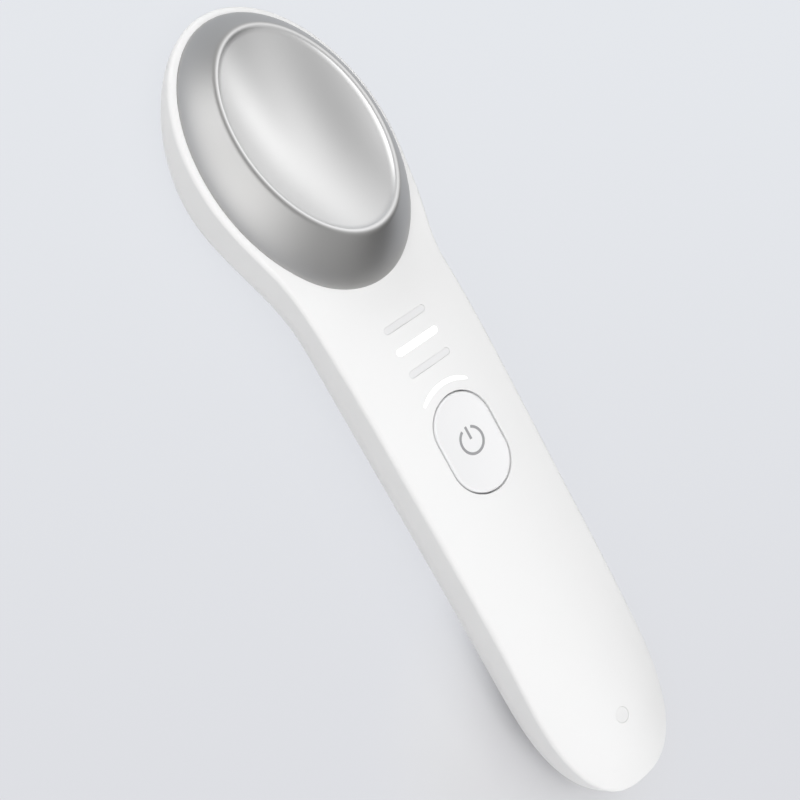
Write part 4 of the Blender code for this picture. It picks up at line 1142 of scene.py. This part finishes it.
class Rib:
    """One line of the housing's plan, from its outline in to the spine."""

    def __init__(self, housing: Housing, x: float, y: float) -> None:
        """Set the rib's sizes from its foot on the outline.

        Args:
            housing: The housing.
            x: X of its foot.
            y: Y of its foot.
        """
        h = self.housing = housing
        self.edge = Vector((x, y))
        self.spine = Vector((0.0, min(max(y, h.spine_tail), h.spine_head)))
        self.length = (self.spine - self.edge).length
        bent = smooth((y - h.bend_start) / h.bend_length)
        self.corner = mix(h.handle_corner, h.head_corner, bent)
        self.back = h.back_radius(y)
        self.fall = h.crown(y)
        self.lean = math.atan(2 * self.fall / self.length)
        self.seam = h.seam_share * h.face_height(y)

    def at(self, inset: float, z: float) -> Vector:
        """Point at a distance in from the outline."""
        place = self.edge.lerp(self.spine, inset / self.length)
        return Vector((place.x, place.y, z))

    def on_face(self, inset: float, below: float = 0.0) -> Vector:
        """Point on the face, or below it by its own wall times a share.

        Args:
            inset: Distance in from the outline.
            below: Share of the wall.

        Returns:
            The point.
        """
        share = 1 - inset / self.length
        point = self.at(inset, 0.0)
        point.z = (self.housing.face_height(point.y) - self.fall * share**2
                   - below * self.housing.top_wall(point.y))
        return point

    def corner_start(self) -> float:
        """Distance in from the outline where the face turns into its rounded corner."""
        return self.corner * (1 - math.sin(self.lean))

    def back_arc(self, offset: float, place: float) -> float:
        """Inset of the round back edge or its offset at a height, and the other way round."""
        share = min(max((self.back - place) / (self.back - offset), 0.0), 1.0)
        return self.back - (self.back - offset) * math.sqrt(1 - share**2)

    def back_edge(self, offset: float, top: float, bottom: float) -> Loop:
        """Points down the rounded back edge, from one height to another.

        Args:
            offset: Distance inside the outer skin.
            top: Height of the first point.
            bottom: Height of the last point.

        Returns:
            The points.
        """
        radius = self.back - offset
        first = math.asin(max(self.back - top, 0.0) / radius)
        last = math.asin((self.back - bottom) / radius)
        return [self.at(self.back - radius * math.cos(a), self.back - radius * math.sin(a))
                for a in spread(first, last, self.housing.back_steps)]

    def front(self) -> Loop:
        """Profile of the front shell: face, corner, wall, seam edge and inner skin.

        Returns:
            Points from the spine out over the face and back to it inside.
        """
        h = self.housing
        bottom = self.seam + h.gap / 2
        points = [self.on_face(i) for i in spread(self.length, self.corner_start(), h.face_steps)]
        base = points[-1].z - self.corner * math.cos(self.lean)
        sill = min(self.back, base - h.skin_step)
        ease = self.back_arc(0.0, sill)
        for k in range(1, h.corner_steps + 1):
            a = (math.pi / 2 - self.lean) * (1 - k / h.corner_steps)
            inset = ease + self.corner * (1 - math.cos(a))
            points.append(self.at(inset, base + self.corner * math.sin(a)))
        points += self.back_edge(0.0, sill, bottom + h.seam_round)
        points.append(self.at(self.back_arc(0.0, bottom) + h.seam_round, bottom))
        ceiling = self.on_face(h.wall, 1.0).z
        start = self.back_arc(h.wall, ceiling)
        inner = [self.on_face(i, 1.0) for i in spread(self.length, start, h.inner_steps)[:-1]]
        inner.append(self.at(start, ceiling))
        inner += self.back_edge(h.wall, min(self.back, ceiling - h.skin_step), bottom)
        return points + inner[::-1]

    def tray(self) -> Loop:
        """Profile of the rear shell: flat back, rounded edge, seam edge, tongue and floor.

        Returns:
            Points from the spine out under the back and back to it inside.
        """
        h = self.housing
        top = self.seam - h.gap / 2
        points = [self.at(i, 0.0) for i in spread(self.length, self.back, h.inner_steps)[:-1]]
        points += self.back_edge(0.0, top - h.seam_round, 0.0)[::-1]
        points.append(self.at(self.back_arc(0.0, top) + h.seam_round, top))
        crest = min(self.seam + h.tongue_rise, self.on_face(h.wall, 1.0).z - h.tongue_headroom)
        foot_inset = self.back_arc(h.wall, top) + h.gap
        crest_inset = self.back_arc(h.wall, crest) + h.gap
        inner = crest_inset + h.tongue_wall
        points += [self.at(foot_inset, top), self.at(crest_inset, crest), self.at(inner, crest)]
        points += self.back_edge(h.floor, self.back_arc(h.floor, inner), h.floor)
        return points + [self.at(self.length, h.floor)]


@dataclass
class Cup(Assembly):
    """Metal cup on the head: seat, swelling wall, rounded rim and bowl."""

    crease: float = 50.0
    housing: Housing = field(default_factory=Housing)
    seat: float = 0.8
    clearance: float = 0.01
    wall: float = 1.2
    bulge: float = 1.35
    rim_height: float = 7.56
    rim_shift: float = 1.6
    rim_lean: float = math.radians(4.4)
    rim_half_width: float = 13.6
    rim_half_length: float = 20.9
    lip: float = 0.6
    bowl_depth: float = 5.5
    ledge_width: float = 2.4
    ledge_drop: float = 2.0
    base_round: float = 0.04
    cut_below: float = 2.0
    lip_pull: float = 0.5
    lip_lift: float = 0.8
    lip_blend: tuple[float, float] = (0.3, 0.6)
    wall_end: float = 0.94
    bowl_start: float = 0.965
    lip_tangent: float = 0.06
    hollow_share: float = 0.88
    hollow_wall: tuple[float, ...] = (0.6, 0.3, 0.0)
    hollow_steps: int = 8
    round_steps: int = 4
    wall_steps: int = 22
    lip_steps: int = 12
    bowl_steps: int = 28

    def __post_init__(self) -> None:
        """Work out the base outline and the head's frame."""
        h = self.housing
        self.half_width = h.head_half - h.cup_margin
        self.half_length = (h.head_cap - h.cup_margin) / math.cos(h.tilt)
        self.frame = (Matrix.Translation((0.0, h.head_y, h.face_height(h.head_y)))
                      @ Matrix.Rotation(-h.tilt, 4, "X"))

    def wall_loop(self, share: float, inset: float = 0.0) -> Loop:
        """Loop on the outer wall, from its base (0) to its rim (1).

        Args:
            share: Place up the wall.
            inset: Distance inside the wall.

        Returns:
            The loop, in the head's frame.
        """
        turn = share**self.bulge
        half_x = mix(self.half_width, self.rim_half_width + self.lip, turn) - inset
        half_y = mix(self.half_length, self.rim_half_length + self.lip, turn) - inset
        return oval(half_x, half_y, self.rim_height * share, self.rim_shift * share,
                    self.rim_lean * share)

    def bowl_height(self, x: float, y: float) -> float:
        """Height of the bowl's surface over the head plane.

        Args:
            x: Place across the bowl.
            y: Place along the bowl.

        Returns:
            The height.
        """
        reach = ((x / self.rim_half_width) ** 2
                 + ((y - self.rim_shift) / self.rim_half_length) ** 2)
        edge = self.rim_height - math.tan(self.rim_lean) * (y - self.rim_shift)
        return edge - self.bowl_depth * (1 - reach)

    def bowl_loop(self, share: float, below: float = 0.0) -> Loop:
        """Loop in the bowl at a share of the rim's size."""
        flat = oval(self.rim_half_width * share, self.rim_half_length * share, 0.0, self.rim_shift)
        return laid(flat, lambda x, y: self.bowl_height(x, y) - below)

    def lip_loops(self) -> list[Loop]:
        """Loops over the rounded rim, from the wall's end down a steep edge to the bowl.

        Returns:
            The loops between the two ends.
        """
        before = self.wall_loop(self.wall_end - self.lip_tangent)
        start, end = self.wall_loop(self.wall_end), self.bowl_loop(self.bowl_start)
        after = self.bowl_loop(self.bowl_start - self.lip_tangent)
        lift = Vector((0.0, 0.0, self.lip_lift))
        loops: list[Loop] = []
        for t in spread(0.0, 1.0, self.lip_steps)[1:-1]:
            loop = []
            for p0, p1, p2, p3 in zip(before, start, end, after):
                pull = self.lip_pull * (p2 - p1).length
                a = p1 + pull * (p1 - p0).normalized()
                b = p2 + pull * ((p2 - p3).normalized() + lift).normalized()
                loop.append((1 - t) ** 3 * p1 + 3 * t * (1 - t) ** 2 * a
                            + 3 * t**2 * (1 - t) * b + t**3 * p2)
            loops.append(loop)
        return loops

    def build(self) -> None:
        """Make the cup, hollow underneath, with its share of bowl as an attribute."""
        foot = laid(self.wall_loop(0.0), -self.seat)
        outer = [foot] + [self.wall_loop(t) for t in spread(0.0, self.wall_end, self.wall_steps)]
        lip = self.lip_loops()
        bowl = [self.bowl_loop(t) for t in spread(self.bowl_start, 0.0, self.bowl_steps)]
        under = [self.bowl_loop(t, self.wall)
                 for t in spread(0.0, self.hollow_share, self.hollow_steps)]
        under += [self.wall_loop(t, self.wall) for t in self.hollow_wall]
        under += [laid(self.wall_loop(0.0, self.wall), -self.seat), foot]
        # Over the lip the wall's painted shade eases into the bowl's colour.
        first, last = self.lip_blend
        turned = [min(max((t - first) / (last - first), 0.0), 1.0)
                  for t in spread(0.0, 1.0, self.lip_steps)[1:-1]]
        shares = [0.0] * len(outer) + turned + [1.0] * len(bowl)
        bm = bmesh.new()
        layer = bm.verts.layers.float.new(BOWL_SHARE)
        skin(bm, outer + lip + bowl, False)
        for i, vertex in enumerate(bm.verts):
            vertex[layer] = shares[i // len(foot)]
        skin(bm, under, False)
        bmesh.ops.transform(bm, matrix=self.frame, verts=bm.verts)
        mesh = smooth_shading(to_mesh("contact_cup_skin", bm), self.crease)
        self.piece("cup_metal", mesh, self.finishes[Slot.CUP], Body.HOUSING, ["contact_cup"],
                   Slot.CUP)

    def opening(self) -> bmesh.types.BMesh:
        """Cutter for the cup's seat in the front shell, with a rounded upper edge.

        Returns:
            The cutter's body.
        """
        wide = (self.half_width + self.clearance, self.half_length + self.clearance)
        slim = (self.half_width - self.ledge_width, self.half_length - self.ledge_width)
        loops = [oval(*slim, -self.housing.head_wall - self.cut_below),
                 oval(*slim, -self.ledge_drop), oval(*wide, -self.ledge_drop)]
        for a in spread(0.0, math.pi / 2, self.round_steps):
            grow = self.base_round * (1 - math.cos(a))
            loops.append(oval(wide[0] + grow, wide[1] + grow, self.base_round * (math.sin(a) - 1)))
        loops.append(oval(wide[0] + self.base_round, wide[1] + self.base_round, self.rim_height))
        bm = skin(bmesh.new(), loops)
        bmesh.ops.transform(bm, matrix=self.frame, verts=bm.verts)
        return bm


@dataclass
class Button(Assembly):
    """Dished power button with a stop flange, a stem and a printed power mark."""

    crease: float = 40.0
    housing: Housing = field(default_factory=Housing)
    radius: float = 6.5
    straight: float = 6.4
    dish: float = 0.65
    edge: float = 0.35
    plate: float = 1.8
    flange: float = 1.3
    flange_thick: float = 0.8
    skirt: float = 1.2
    stem_radius: float = 1.5
    stem_end: float = 15.3
    hole_gap: float = 0.3
    hole_edge: float = 0.12
    hole_low: float = 14.2
    hole_above: float = 3.0
    mark_radius: float = 2.5
    mark_stroke: float = 0.52
    mark_gap: float = math.radians(25.0)
    mark_bar: tuple[float, float] = (0.1, 1.1)
    mark_shift: tuple[float, float] = (0.25, 0.3)
    mark_rise: float = 0.025
    mark_crease: float = 30.0
    mark_finish: Finish = Finish("mark_ink", to_linear(160, 160, 162), 0.5, drift=0.03)
    top_steps: int = 14
    edge_steps: int = 6
    hole_steps: int = 4

    def __post_init__(self) -> None:
        """Find the button's middle."""
        self.y = self.housing.button_y
        self.half = self.straight / 2

    def outline(self, grow: float, height: Height) -> Loop:
        """The button's outline, grown by a distance."""
        return oblong(self.radius + grow, self.half, self.y, height)

    def top(self, x: float, y: float) -> float:
        """Height of the dished face.

        Args:
            x: Place across the wand.
            y: Place along the wand.

        Returns:
            The height.
        """
        offset = max(abs(y - self.y) - self.half, 0.0)
        reach = min(math.hypot(x, offset) / (self.radius - self.edge), 1.0)
        return self.housing.face_at(x, y) - self.dish * (1 - reach**2)

    def opening(self) -> bmesh.types.BMesh:
        """Cutter for the button's hole, whose upper edge is rounded.

        Returns:
            The cutter's body.
        """
        below = self.housing.below_face
        loops = [self.outline(self.hole_gap, self.hole_low)]
        for a in spread(0.0, math.pi / 2, self.hole_steps):
            grow = self.hole_gap + self.hole_edge * (1 - math.cos(a))
            loops.append(self.outline(grow, below(self.hole_edge * (1 - math.sin(a)))))
        loops.append(self.outline(self.hole_gap + self.hole_edge, below(-self.hole_above)))
        return skin(bmesh.new(), loops)

    def build(self) -> None:
        """Make the button and the mark on it."""
        h = self.housing
        under = h.depth - self.plate
        flange_top = h.face_at(self.radius + self.flange, self.y) - h.wall - h.gap
        flange_low = flange_top - self.flange_thick
        loops = [oblong((self.radius - self.edge) * t, self.half, self.y, self.top)
                 for t in spread(0.0, 1.0, self.top_steps)]
        for a in spread(0.0, math.pi / 2, self.edge_steps)[1:]:
            loops.append(self.outline(-self.edge * (1 - math.sin(a)),
                                      h.below_face(self.edge * (1 - math.cos(a)))))
        loops += [self.outline(grow, z) for grow, z in
                  ((0.0, flange_top), (self.flange, flange_top), (self.flange, flange_low),
                   (-self.skirt, flange_low), (-self.skirt, under))]
        loops += [oblong(r, 0.0, self.y, z) for r, z in
                  ((self.stem_radius, under), (self.stem_radius, self.stem_end),
                   (0.0, self.stem_end))]
        mesh = to_mesh("button_skin", skin(bmesh.new(), loops, False))
        self.piece("button_cap", smooth_shading(mesh, self.crease), self.finishes[Slot.BUTTON],
                   Body.BUTTON, ["power_button"], Slot.BUTTON)
        self.build_mark()

    def build_mark(self) -> None:
        """Print the power mark, which follows the dish."""
        finish = self.mark_finish
        bar_start, bar_end = self.mark_bar
        mesh = swept_arc_tree("power_mark", True).make({
            "Radius": self.mark_radius * MM, "Start": math.pi / 2 + self.mark_gap,
            "Sweep": 2 * (math.pi - self.mark_gap), "Stroke": self.mark_stroke * MM,
            "Thinning": 0.0, "Bar Start": bar_start * self.mark_radius * MM,
            "Bar End": bar_end * self.mark_radius * MM, "Material": self.material(finish)})
        x, y = self.mark_shift
        mesh.transform(Matrix.Translation(Vector((x, self.y + y, 0.0)) * MM))
        drape(mesh, lambda u, v: self.top(u, v) + self.mark_rise,
              lambda u, v: self.top(u, v) - self.mark_rise)
        self.piece("power_mark", smooth_shading(mesh, self.mark_crease), finish, Body.BUTTON)


@dataclass
class Lights(Assembly):
    """Light guides in the face: a crescent, three mode bars and a charge light."""

    crease: float = 30.0
    button: Button = field(default_factory=Button)
    arc_gap: float = 2.15
    arc_stroke: float = 0.75
    arc_half_angle: float = math.radians(37.0)
    arc_thinning: float = 0.55
    mode_first: float = 16.6
    mode_pitch: float = 4.5
    mode_count: int = 3
    mode_length: float = 10.0
    mode_stroke: float = 1.3
    charge_from_tail: float = 14.6
    charge_radius: float = 1.5
    charge_fit: float = 0.05
    charge_recess: float = 0.06
    fit: float = 0.03
    recess: float = 0.03
    guide_depth: float = 1.7
    cut_below: float = 5.0
    cut_above: float = 2.0
    lit_row: int = 1
    frosted_finish: LitRow = LitRow("frosted_guide", to_linear(235, 235, 236), 0.4, drift=0.02)
    charge_finish: Finish = Finish("charge_window", to_linear(239, 239, 239), 0.3, drift=0.02)
    arc_points: int = 48
    bar_points: int = 32
    charge_points: int = 48

    def __post_init__(self) -> None:
        """Work out the places of the lights."""
        self.housing = self.button.housing
        self.arc_y = self.button.y + self.button.half
        self.arc_radius = self.button.radius + self.arc_gap + self.arc_stroke / 2
        self.rows = [self.button.y + self.mode_first + self.mode_pitch * k
                     for k in range(self.mode_count)]
        self.charge_y = self.housing.tail_end + self.charge_from_tail

    def arc_outline(self, grow: float, height: Height) -> Loop:
        """Crescent above the button, thinned towards its tips.

        Args:
            grow: How far it is grown all round.
            height: Height, as a number or a function.

        Returns:
            The loop.
        """
        half = self.arc_half_angle + grow / self.arc_radius
        angles = spread(-half, half, self.arc_points)
        flat = []
        for side, turns in ((1, angles), (-1, angles[::-1])):
            for a in turns:
                thin = 1 - self.arc_thinning * (a / half) ** TIP_POWER
                reach = self.arc_radius + side * (self.arc_stroke / 2 * thin + grow)
                flat.append(Vector((reach * math.sin(a), self.arc_y + reach * math.cos(a), 0.0)))
        return laid(flat, height)

    def bar_outline(self, row: float, grow: float, height: Height) -> Loop:
        """Short bar across the face with round ends, grown all round."""
        flat = oblong(self.mode_stroke / 2 + grow, (self.mode_length - self.mode_stroke) / 2,
                      0.0, 0.0, self.bar_points)
        return laid([Vector((-p.y, row + p.x, 0.0)) for p in flat], height)

    def charge_outline(self, grow: float, height: Height) -> Loop:
        """Round charge light, grown all round."""
        radius = self.charge_radius + grow
        return laid(oval(radius, radius, 0.0, self.charge_y, points=self.charge_points), height)

    def opening(self) -> bmesh.types.BMesh:
        """Cutter for the windows of the lights.

        Returns:
            The cutter's bodies in one.
        """
        ends = (self.housing.depth - self.cut_below, self.housing.depth + self.cut_above)
        cuts = bmesh.new()
        skin(cuts, [self.arc_outline(self.fit, z) for z in ends])
        for row in self.rows:
            skin(cuts, [self.bar_outline(row, self.fit, z) for z in ends])
        return skin(cuts, [self.charge_outline(self.charge_fit, z) for z in ends])

    def build(self) -> None:
        """Make the three light guides."""
        below = self.housing.below_face
        lens, foot = below(self.recess), below(self.guide_depth)
        lit = self.finishes[Slot.LIT]
        arc = swept_arc_tree("crescent", False).make({
            "Radius": self.arc_radius * MM, "Start": math.pi / 2 - self.arc_half_angle,
            "Sweep": 2 * self.arc_half_angle, "Stroke": self.arc_stroke * MM,
            "Thinning": self.arc_thinning, "Material": self.material(lit)})
        arc.transform(Matrix.Translation((0.0, self.arc_y * MM, 0.0)))
        frosted = replace(self.frosted_finish, middle=self.rows[self.lit_row] * MM,
                          half=self.mode_pitch / 2 * MM)
        bars = bar_row_tree().make({
            "Count": self.mode_count, "First": self.rows[0] * MM, "Pitch": self.mode_pitch * MM,
            "Length": self.mode_length * MM, "Stroke": self.mode_stroke * MM, "Depth": MM,
            "Material": self.material(frosted)})
        charge = skin(bmesh.new(), [self.charge_outline(0.0, z)
                                    for z in (foot, below(self.charge_recess))])
        for name, mesh, finish, node, slot in (
                ("crescent_light", drape(arc, lens, foot), lit, "arc_light_guide", Slot.LIT),
                ("mode_lights", drape(bars, lens, foot), frosted, "mode_light_guide",
                 Slot.FROSTED),
                ("charge_light", to_mesh("charge_skin", charge), self.charge_finish,
                 "charge_light_guide", Slot.FROSTED)):
            self.piece(name, smooth_shading(mesh, self.crease), finish, Body.HOUSING, [node], slot)


@dataclass
class Socket(Assembly):
    """Charging socket in the tail: its mouth in the shell."""

    housing: Housing = field(default_factory=Housing)
    width: float = 9.0
    height: float = 3.2
    slot: float = 3.0
    inset: float = 0.5
    board_drop: float = 5.8
    board_thick: float = 1.2
    cut_out: float = 2.0
    mouth_points: int = 40

    def __post_init__(self) -> None:
        """Find the socket's middle and mouth."""
        h = self.housing
        self.z = h.depth - self.board_drop - self.board_thick - h.gap - self.height / 2
        tail = Rib(h, 0.0, h.tail_end)
        self.mouth_y = h.tail_end + tail.back_arc(0.0, self.z - self.height / 2) + self.inset

    def opening(self) -> bmesh.types.BMesh:
        """Cutter for the socket's mouth.

        Returns:
            The cutter's body.
        """
        radius = self.height / 2 + self.housing.gap
        flat = oblong(radius, (self.width - self.height) / 2, 0.0, 0.0, self.mouth_points)
        ends = (self.housing.tail_end - self.cut_out, self.mouth_y + self.slot)
        return skin(bmesh.new(), [[Vector((-p.y, y, self.z + p.x)) for p in flat] for y in ends])


@dataclass
class Insides(Assembly):
    """The CAD nodes that stay as they are, each with its own finish."""

    kinds: dict[str, Finish] = field(default_factory=inner_finishes)

    def dress(self, nodes: dict[str, bpy.types.Object]) -> None:
        """Give each shown CAD node its finish.

        Args:
            nodes: CAD nodes by name.
        """
        for name, node in sorted(nodes.items()):
            found = [kind for kind in self.kinds if name.startswith(kind)]
            if node.hide_render or not found:
                continue
            made = self.material(self.kinds[found[0]])
            if not node.material_slots:
                node.data.materials.append(made)
            for place in node.material_slots:
                place.material = made
            log.info("node %s: %s", name, self.kinds[found[0]].name)


# Studio


@dataclass(frozen=True)
class Aim:
    """A direction from the wand, by its compass angle from +X and its height in degrees."""

    azimuth: float
    elevation: float

    def direction(self) -> tuple[float, float, float]:
        """Unit vector."""
        a, e = math.radians(self.azimuth), math.radians(self.elevation)
        return math.cos(e) * math.cos(a), math.cos(e) * math.sin(a), math.sin(e)


@dataclass(frozen=True)
class Softbox(Aim):
    """A soft patch of light in the surroundings; a higher falloff makes it smaller."""

    strength: float
    falloff: float = 6.0


@dataclass(frozen=True)
class Lamp(Aim):
    """A soft area lamp, with its power in watts and its sides in metres."""

    power: float
    name: str
    size: tuple[float, float]


@dataclass
class Studio:
    """Floor, lamps, world and camera."""

    backdrop_high: Colour = to_linear(230, 233, 238)
    backdrop_low: Colour = to_linear(219, 220, 225)
    floor_half: float = 4.0
    floor_drop: float = 0.0002
    floor_dark: Colour = (0.74, 0.74, 0.74)
    floor_light: Colour = (0.77, 0.77, 0.77)
    # Painted shadow: the floor's colour darkens to this round a spot beside the tail.
    shade_colour: Colour = (0.655, 0.655, 0.67)
    shade_far: float = 0.08
    shade_near: float = 0.85
    shade_middle: tuple[float, float, float] = (-0.010, -0.070, 0.0)
    shade_reach: tuple[float, float] = (0.006, 0.042)
    fade_across: float = -0.5
    fade_along: float = -0.86
    fade_reach: tuple[float, float] = (-0.12, 0.14)
    floor_grain: float = 9.0
    boxes: tuple[Softbox, ...] = (
        Softbox(45, 8, 0.86), Softbox(180, 8, 1.61), Softbox(22.5, 34, 0.42),
        Softbox(247.5, 34, 0.54), Softbox(60, 60, 0.64), Softbox(300, 60, 0.31),
        Softbox(0, 88, 0.26), Softbox(135, 8, 2.58, 16.0), Softbox(180, 8, 1.04, 16.0),
        Softbox(0, 20, 1.05, 16.0), Softbox(90, 20, 0.43, 16.0))
    lamps: tuple[Lamp, ...] = (
        Lamp(90, 15, 4.0, "head_lamp", (1.2, 0.5)), Lamp(270, 15, 5.4, "tail_lamp", (1.2, 0.5)),
        Lamp(120, 35, 1.3, "corner_lamp", (1.0, 0.8)), Lamp(0, 35, 0.5, "right_lamp", (1.0, 0.8)),
        Lamp(180, 60, 6.3, "left_lamp", (1.2, 1.2)), Lamp(0, 88, 7.5, "top_lamp", (1.2, 1.2)))
    lamp_reach: float = 1.1
    camera_place: tuple[float, float, float] = (-168.043, 64.945, 288.677)
    camera_turn: tuple[float, float, float, float] = (0.92474, -0.021034, -0.274825, -0.262459)
    focal_pixels: float = 1801.93
    frame_pixels: int = 800
    sensor: float = 36.0
    near_clip: float = 0.01

    def seen(self, graph: ShaderGraph) -> Flow:
        """1 for rays from the camera and for reflections of it, 0 for light.

        Args:
            graph: A material's or the world's graph.

        Returns:
            The flag.
        """
        flags = [graph.add("ShaderNodeLightPath", None, None, name)
                 for name in ("Is Camera Ray", "Is Glossy Ray", "Is Transmission Ray")]
        total = flags[0] + flags[1] + flags[2]
        return graph.add("ShaderNodeMath", {"operation": "MINIMUM"}, {0: total, 1: 1.0})

    def backdrop(self, graph: ShaderGraph) -> Flow:
        """Floor colour: a slow fade along the photograph's height."""
        along = self.fade_across * graph.place("X") + self.fade_along * graph.place("Y")
        return graph.tint(along.ramp(*self.fade_reach), self.backdrop_high, self.backdrop_low)

    def build_floor(self) -> None:
        """Lay the floor, which keeps a soft shadow that is deepest beside the tail: partly the real
        shadow, partly painted shadow in its colour.
        """
        half, low = self.floor_half, -self.floor_drop
        mesh = bpy.data.meshes.new("floor")
        mesh.from_pydata([(-half, -half, low), (half, -half, low), (half, half, low),
                          (-half, half, low)], [], [(0, 1, 2, 3)])
        made = bpy.data.materials.new("pale_floor")
        graph = ShaderGraph(made)
        apart = graph.add("ShaderNodeVectorMath", {"operation": "DISTANCE"},
                          {0: graph.spot(), 1: self.shade_middle}, "Value")
        near = 1 - apart.ramp(*self.shade_reach)
        shade = self.shade_far + self.shade_near * near
        grain = graph.tint(graph.noise(self.floor_grain), self.floor_dark, self.floor_light)
        # Painted shadow: the colour darkens towards the spot beside the tail, while the diffuse
        # share keeps the real shadow.
        flat = graph.add("ShaderNodeBsdfDiffuse", None,
                         {"Color": graph.tint(near, grain, self.shade_colour)})
        glow = graph.add("ShaderNodeEmission", None,
                         {"Color": self.backdrop(graph), "Strength": 1.0})
        graph.close(graph.add("ShaderNodeMixShader", None, {
            0: self.seen(graph) * (1 - shade), 1: flat, 2: glow}))
        mesh.materials.append(made)
        add_object("floor", mesh)

    def sky(self, graph: ShaderGraph) -> Flow:
        """Surroundings with soft patches of light.

        Args:
            graph: The world's graph.

        Returns:
            A grey colour by direction.
        """
        where = graph.add("ShaderNodeTexCoord", None, None, "Generated")
        total: Any = 0.0
        for box in self.boxes:
            facing = graph.add("ShaderNodeVectorMath", {"operation": "DOT_PRODUCT"},
                               {0: where, 1: box.direction()}, "Value")
            total = total + box.strength * graph.add(
                "ShaderNodeMath", {"operation": "EXPONENT"}, {0: box.falloff * (facing - 1.0)})
        return graph.add("ShaderNodeCombineColor", None, {0: total, 1: total, 2: total})

    def build_world(self) -> None:
        """Set the surroundings: a plain backdrop, and soft boxes that the gloss shows."""
        world = bpy.data.worlds.new("studio")
        bpy.context.scene.world = world
        graph = ShaderGraph(world)
        shown = graph.add("ShaderNodeBackground", None,
                          {"Color": self.sky(graph), "Strength": self.seen(graph)})
        plain = graph.add("ShaderNodeBackground", None,
                          {"Color": (*self.backdrop_high, 1.0), "Strength": 1.0})
        direct = graph.add("ShaderNodeLightPath", None, None, "Is Camera Ray")
        graph.close(graph.add("ShaderNodeMixShader", None, {0: direct, 1: shown, 2: plain}),
                    "ShaderNodeOutputWorld")

    def build_lamps(self) -> None:
        """Hang the lamps, which face the wand and light it without a mirror image."""
        for lamp in self.lamps:
            data = bpy.data.lights.new(lamp.name, "AREA")
            data.shape = "RECTANGLE"
            data.size, data.size_y = lamp.size
            data.energy = lamp.power
            made = add_object(lamp.name, data)
            made.location = self.lamp_reach * Vector(lamp.direction())
            made.rotation_mode = "QUATERNION"
            made.rotation_quaternion = (-made.location).to_track_quat("-Z", "Y")
            made.visible_glossy = False
            log.info("lamp %s", lamp.name)

    def build_camera(self) -> None:
        """Set up the camera at the photograph's view."""
        data = bpy.data.cameras.new("view")
        data.sensor_width = self.sensor
        data.lens = self.focal_pixels / self.frame_pixels * self.sensor
        data.clip_start = self.near_clip
        made = add_object("view", data)
        made.location = Vector(self.camera_place) * MM
        made.rotation_mode = "QUATERNION"
        made.rotation_quaternion = Quaternion(self.camera_turn)
        bpy.context.scene.camera = made

    def build(self) -> None:
        """Set up everything round the object."""
        bpy.context.scene.view_settings.view_transform = "Standard"
        self.build_floor()
        self.build_world()
        self.build_lamps()
        self.build_camera()


def main() -> None:
    """Build and dress every sub-assembly in order."""
    logging.basicConfig(level=logging.INFO, format="%(name)s: %(message)s")
    for item in list(bpy.data.objects):
        bpy.data.objects.remove(item, do_unlink=True)
    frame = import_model()
    shared: dict[str, bpy.types.Material] = {}
    housing = Housing(materials=shared)
    cup = Cup(materials=shared, housing=housing)
    button = Button(materials=shared, housing=housing)
    lights = Lights(materials=shared, button=button)
    socket = Socket(materials=shared, housing=housing)
    housing.build_front([part.opening() for part in (cup, button, lights, socket)])
    housing.build_back()
    cup.build()
    button.build()
    lights.build()
    Insides(materials=shared).dress(frame["nodes"])
    Studio().build()


if __name__ == "__main__":
    main()
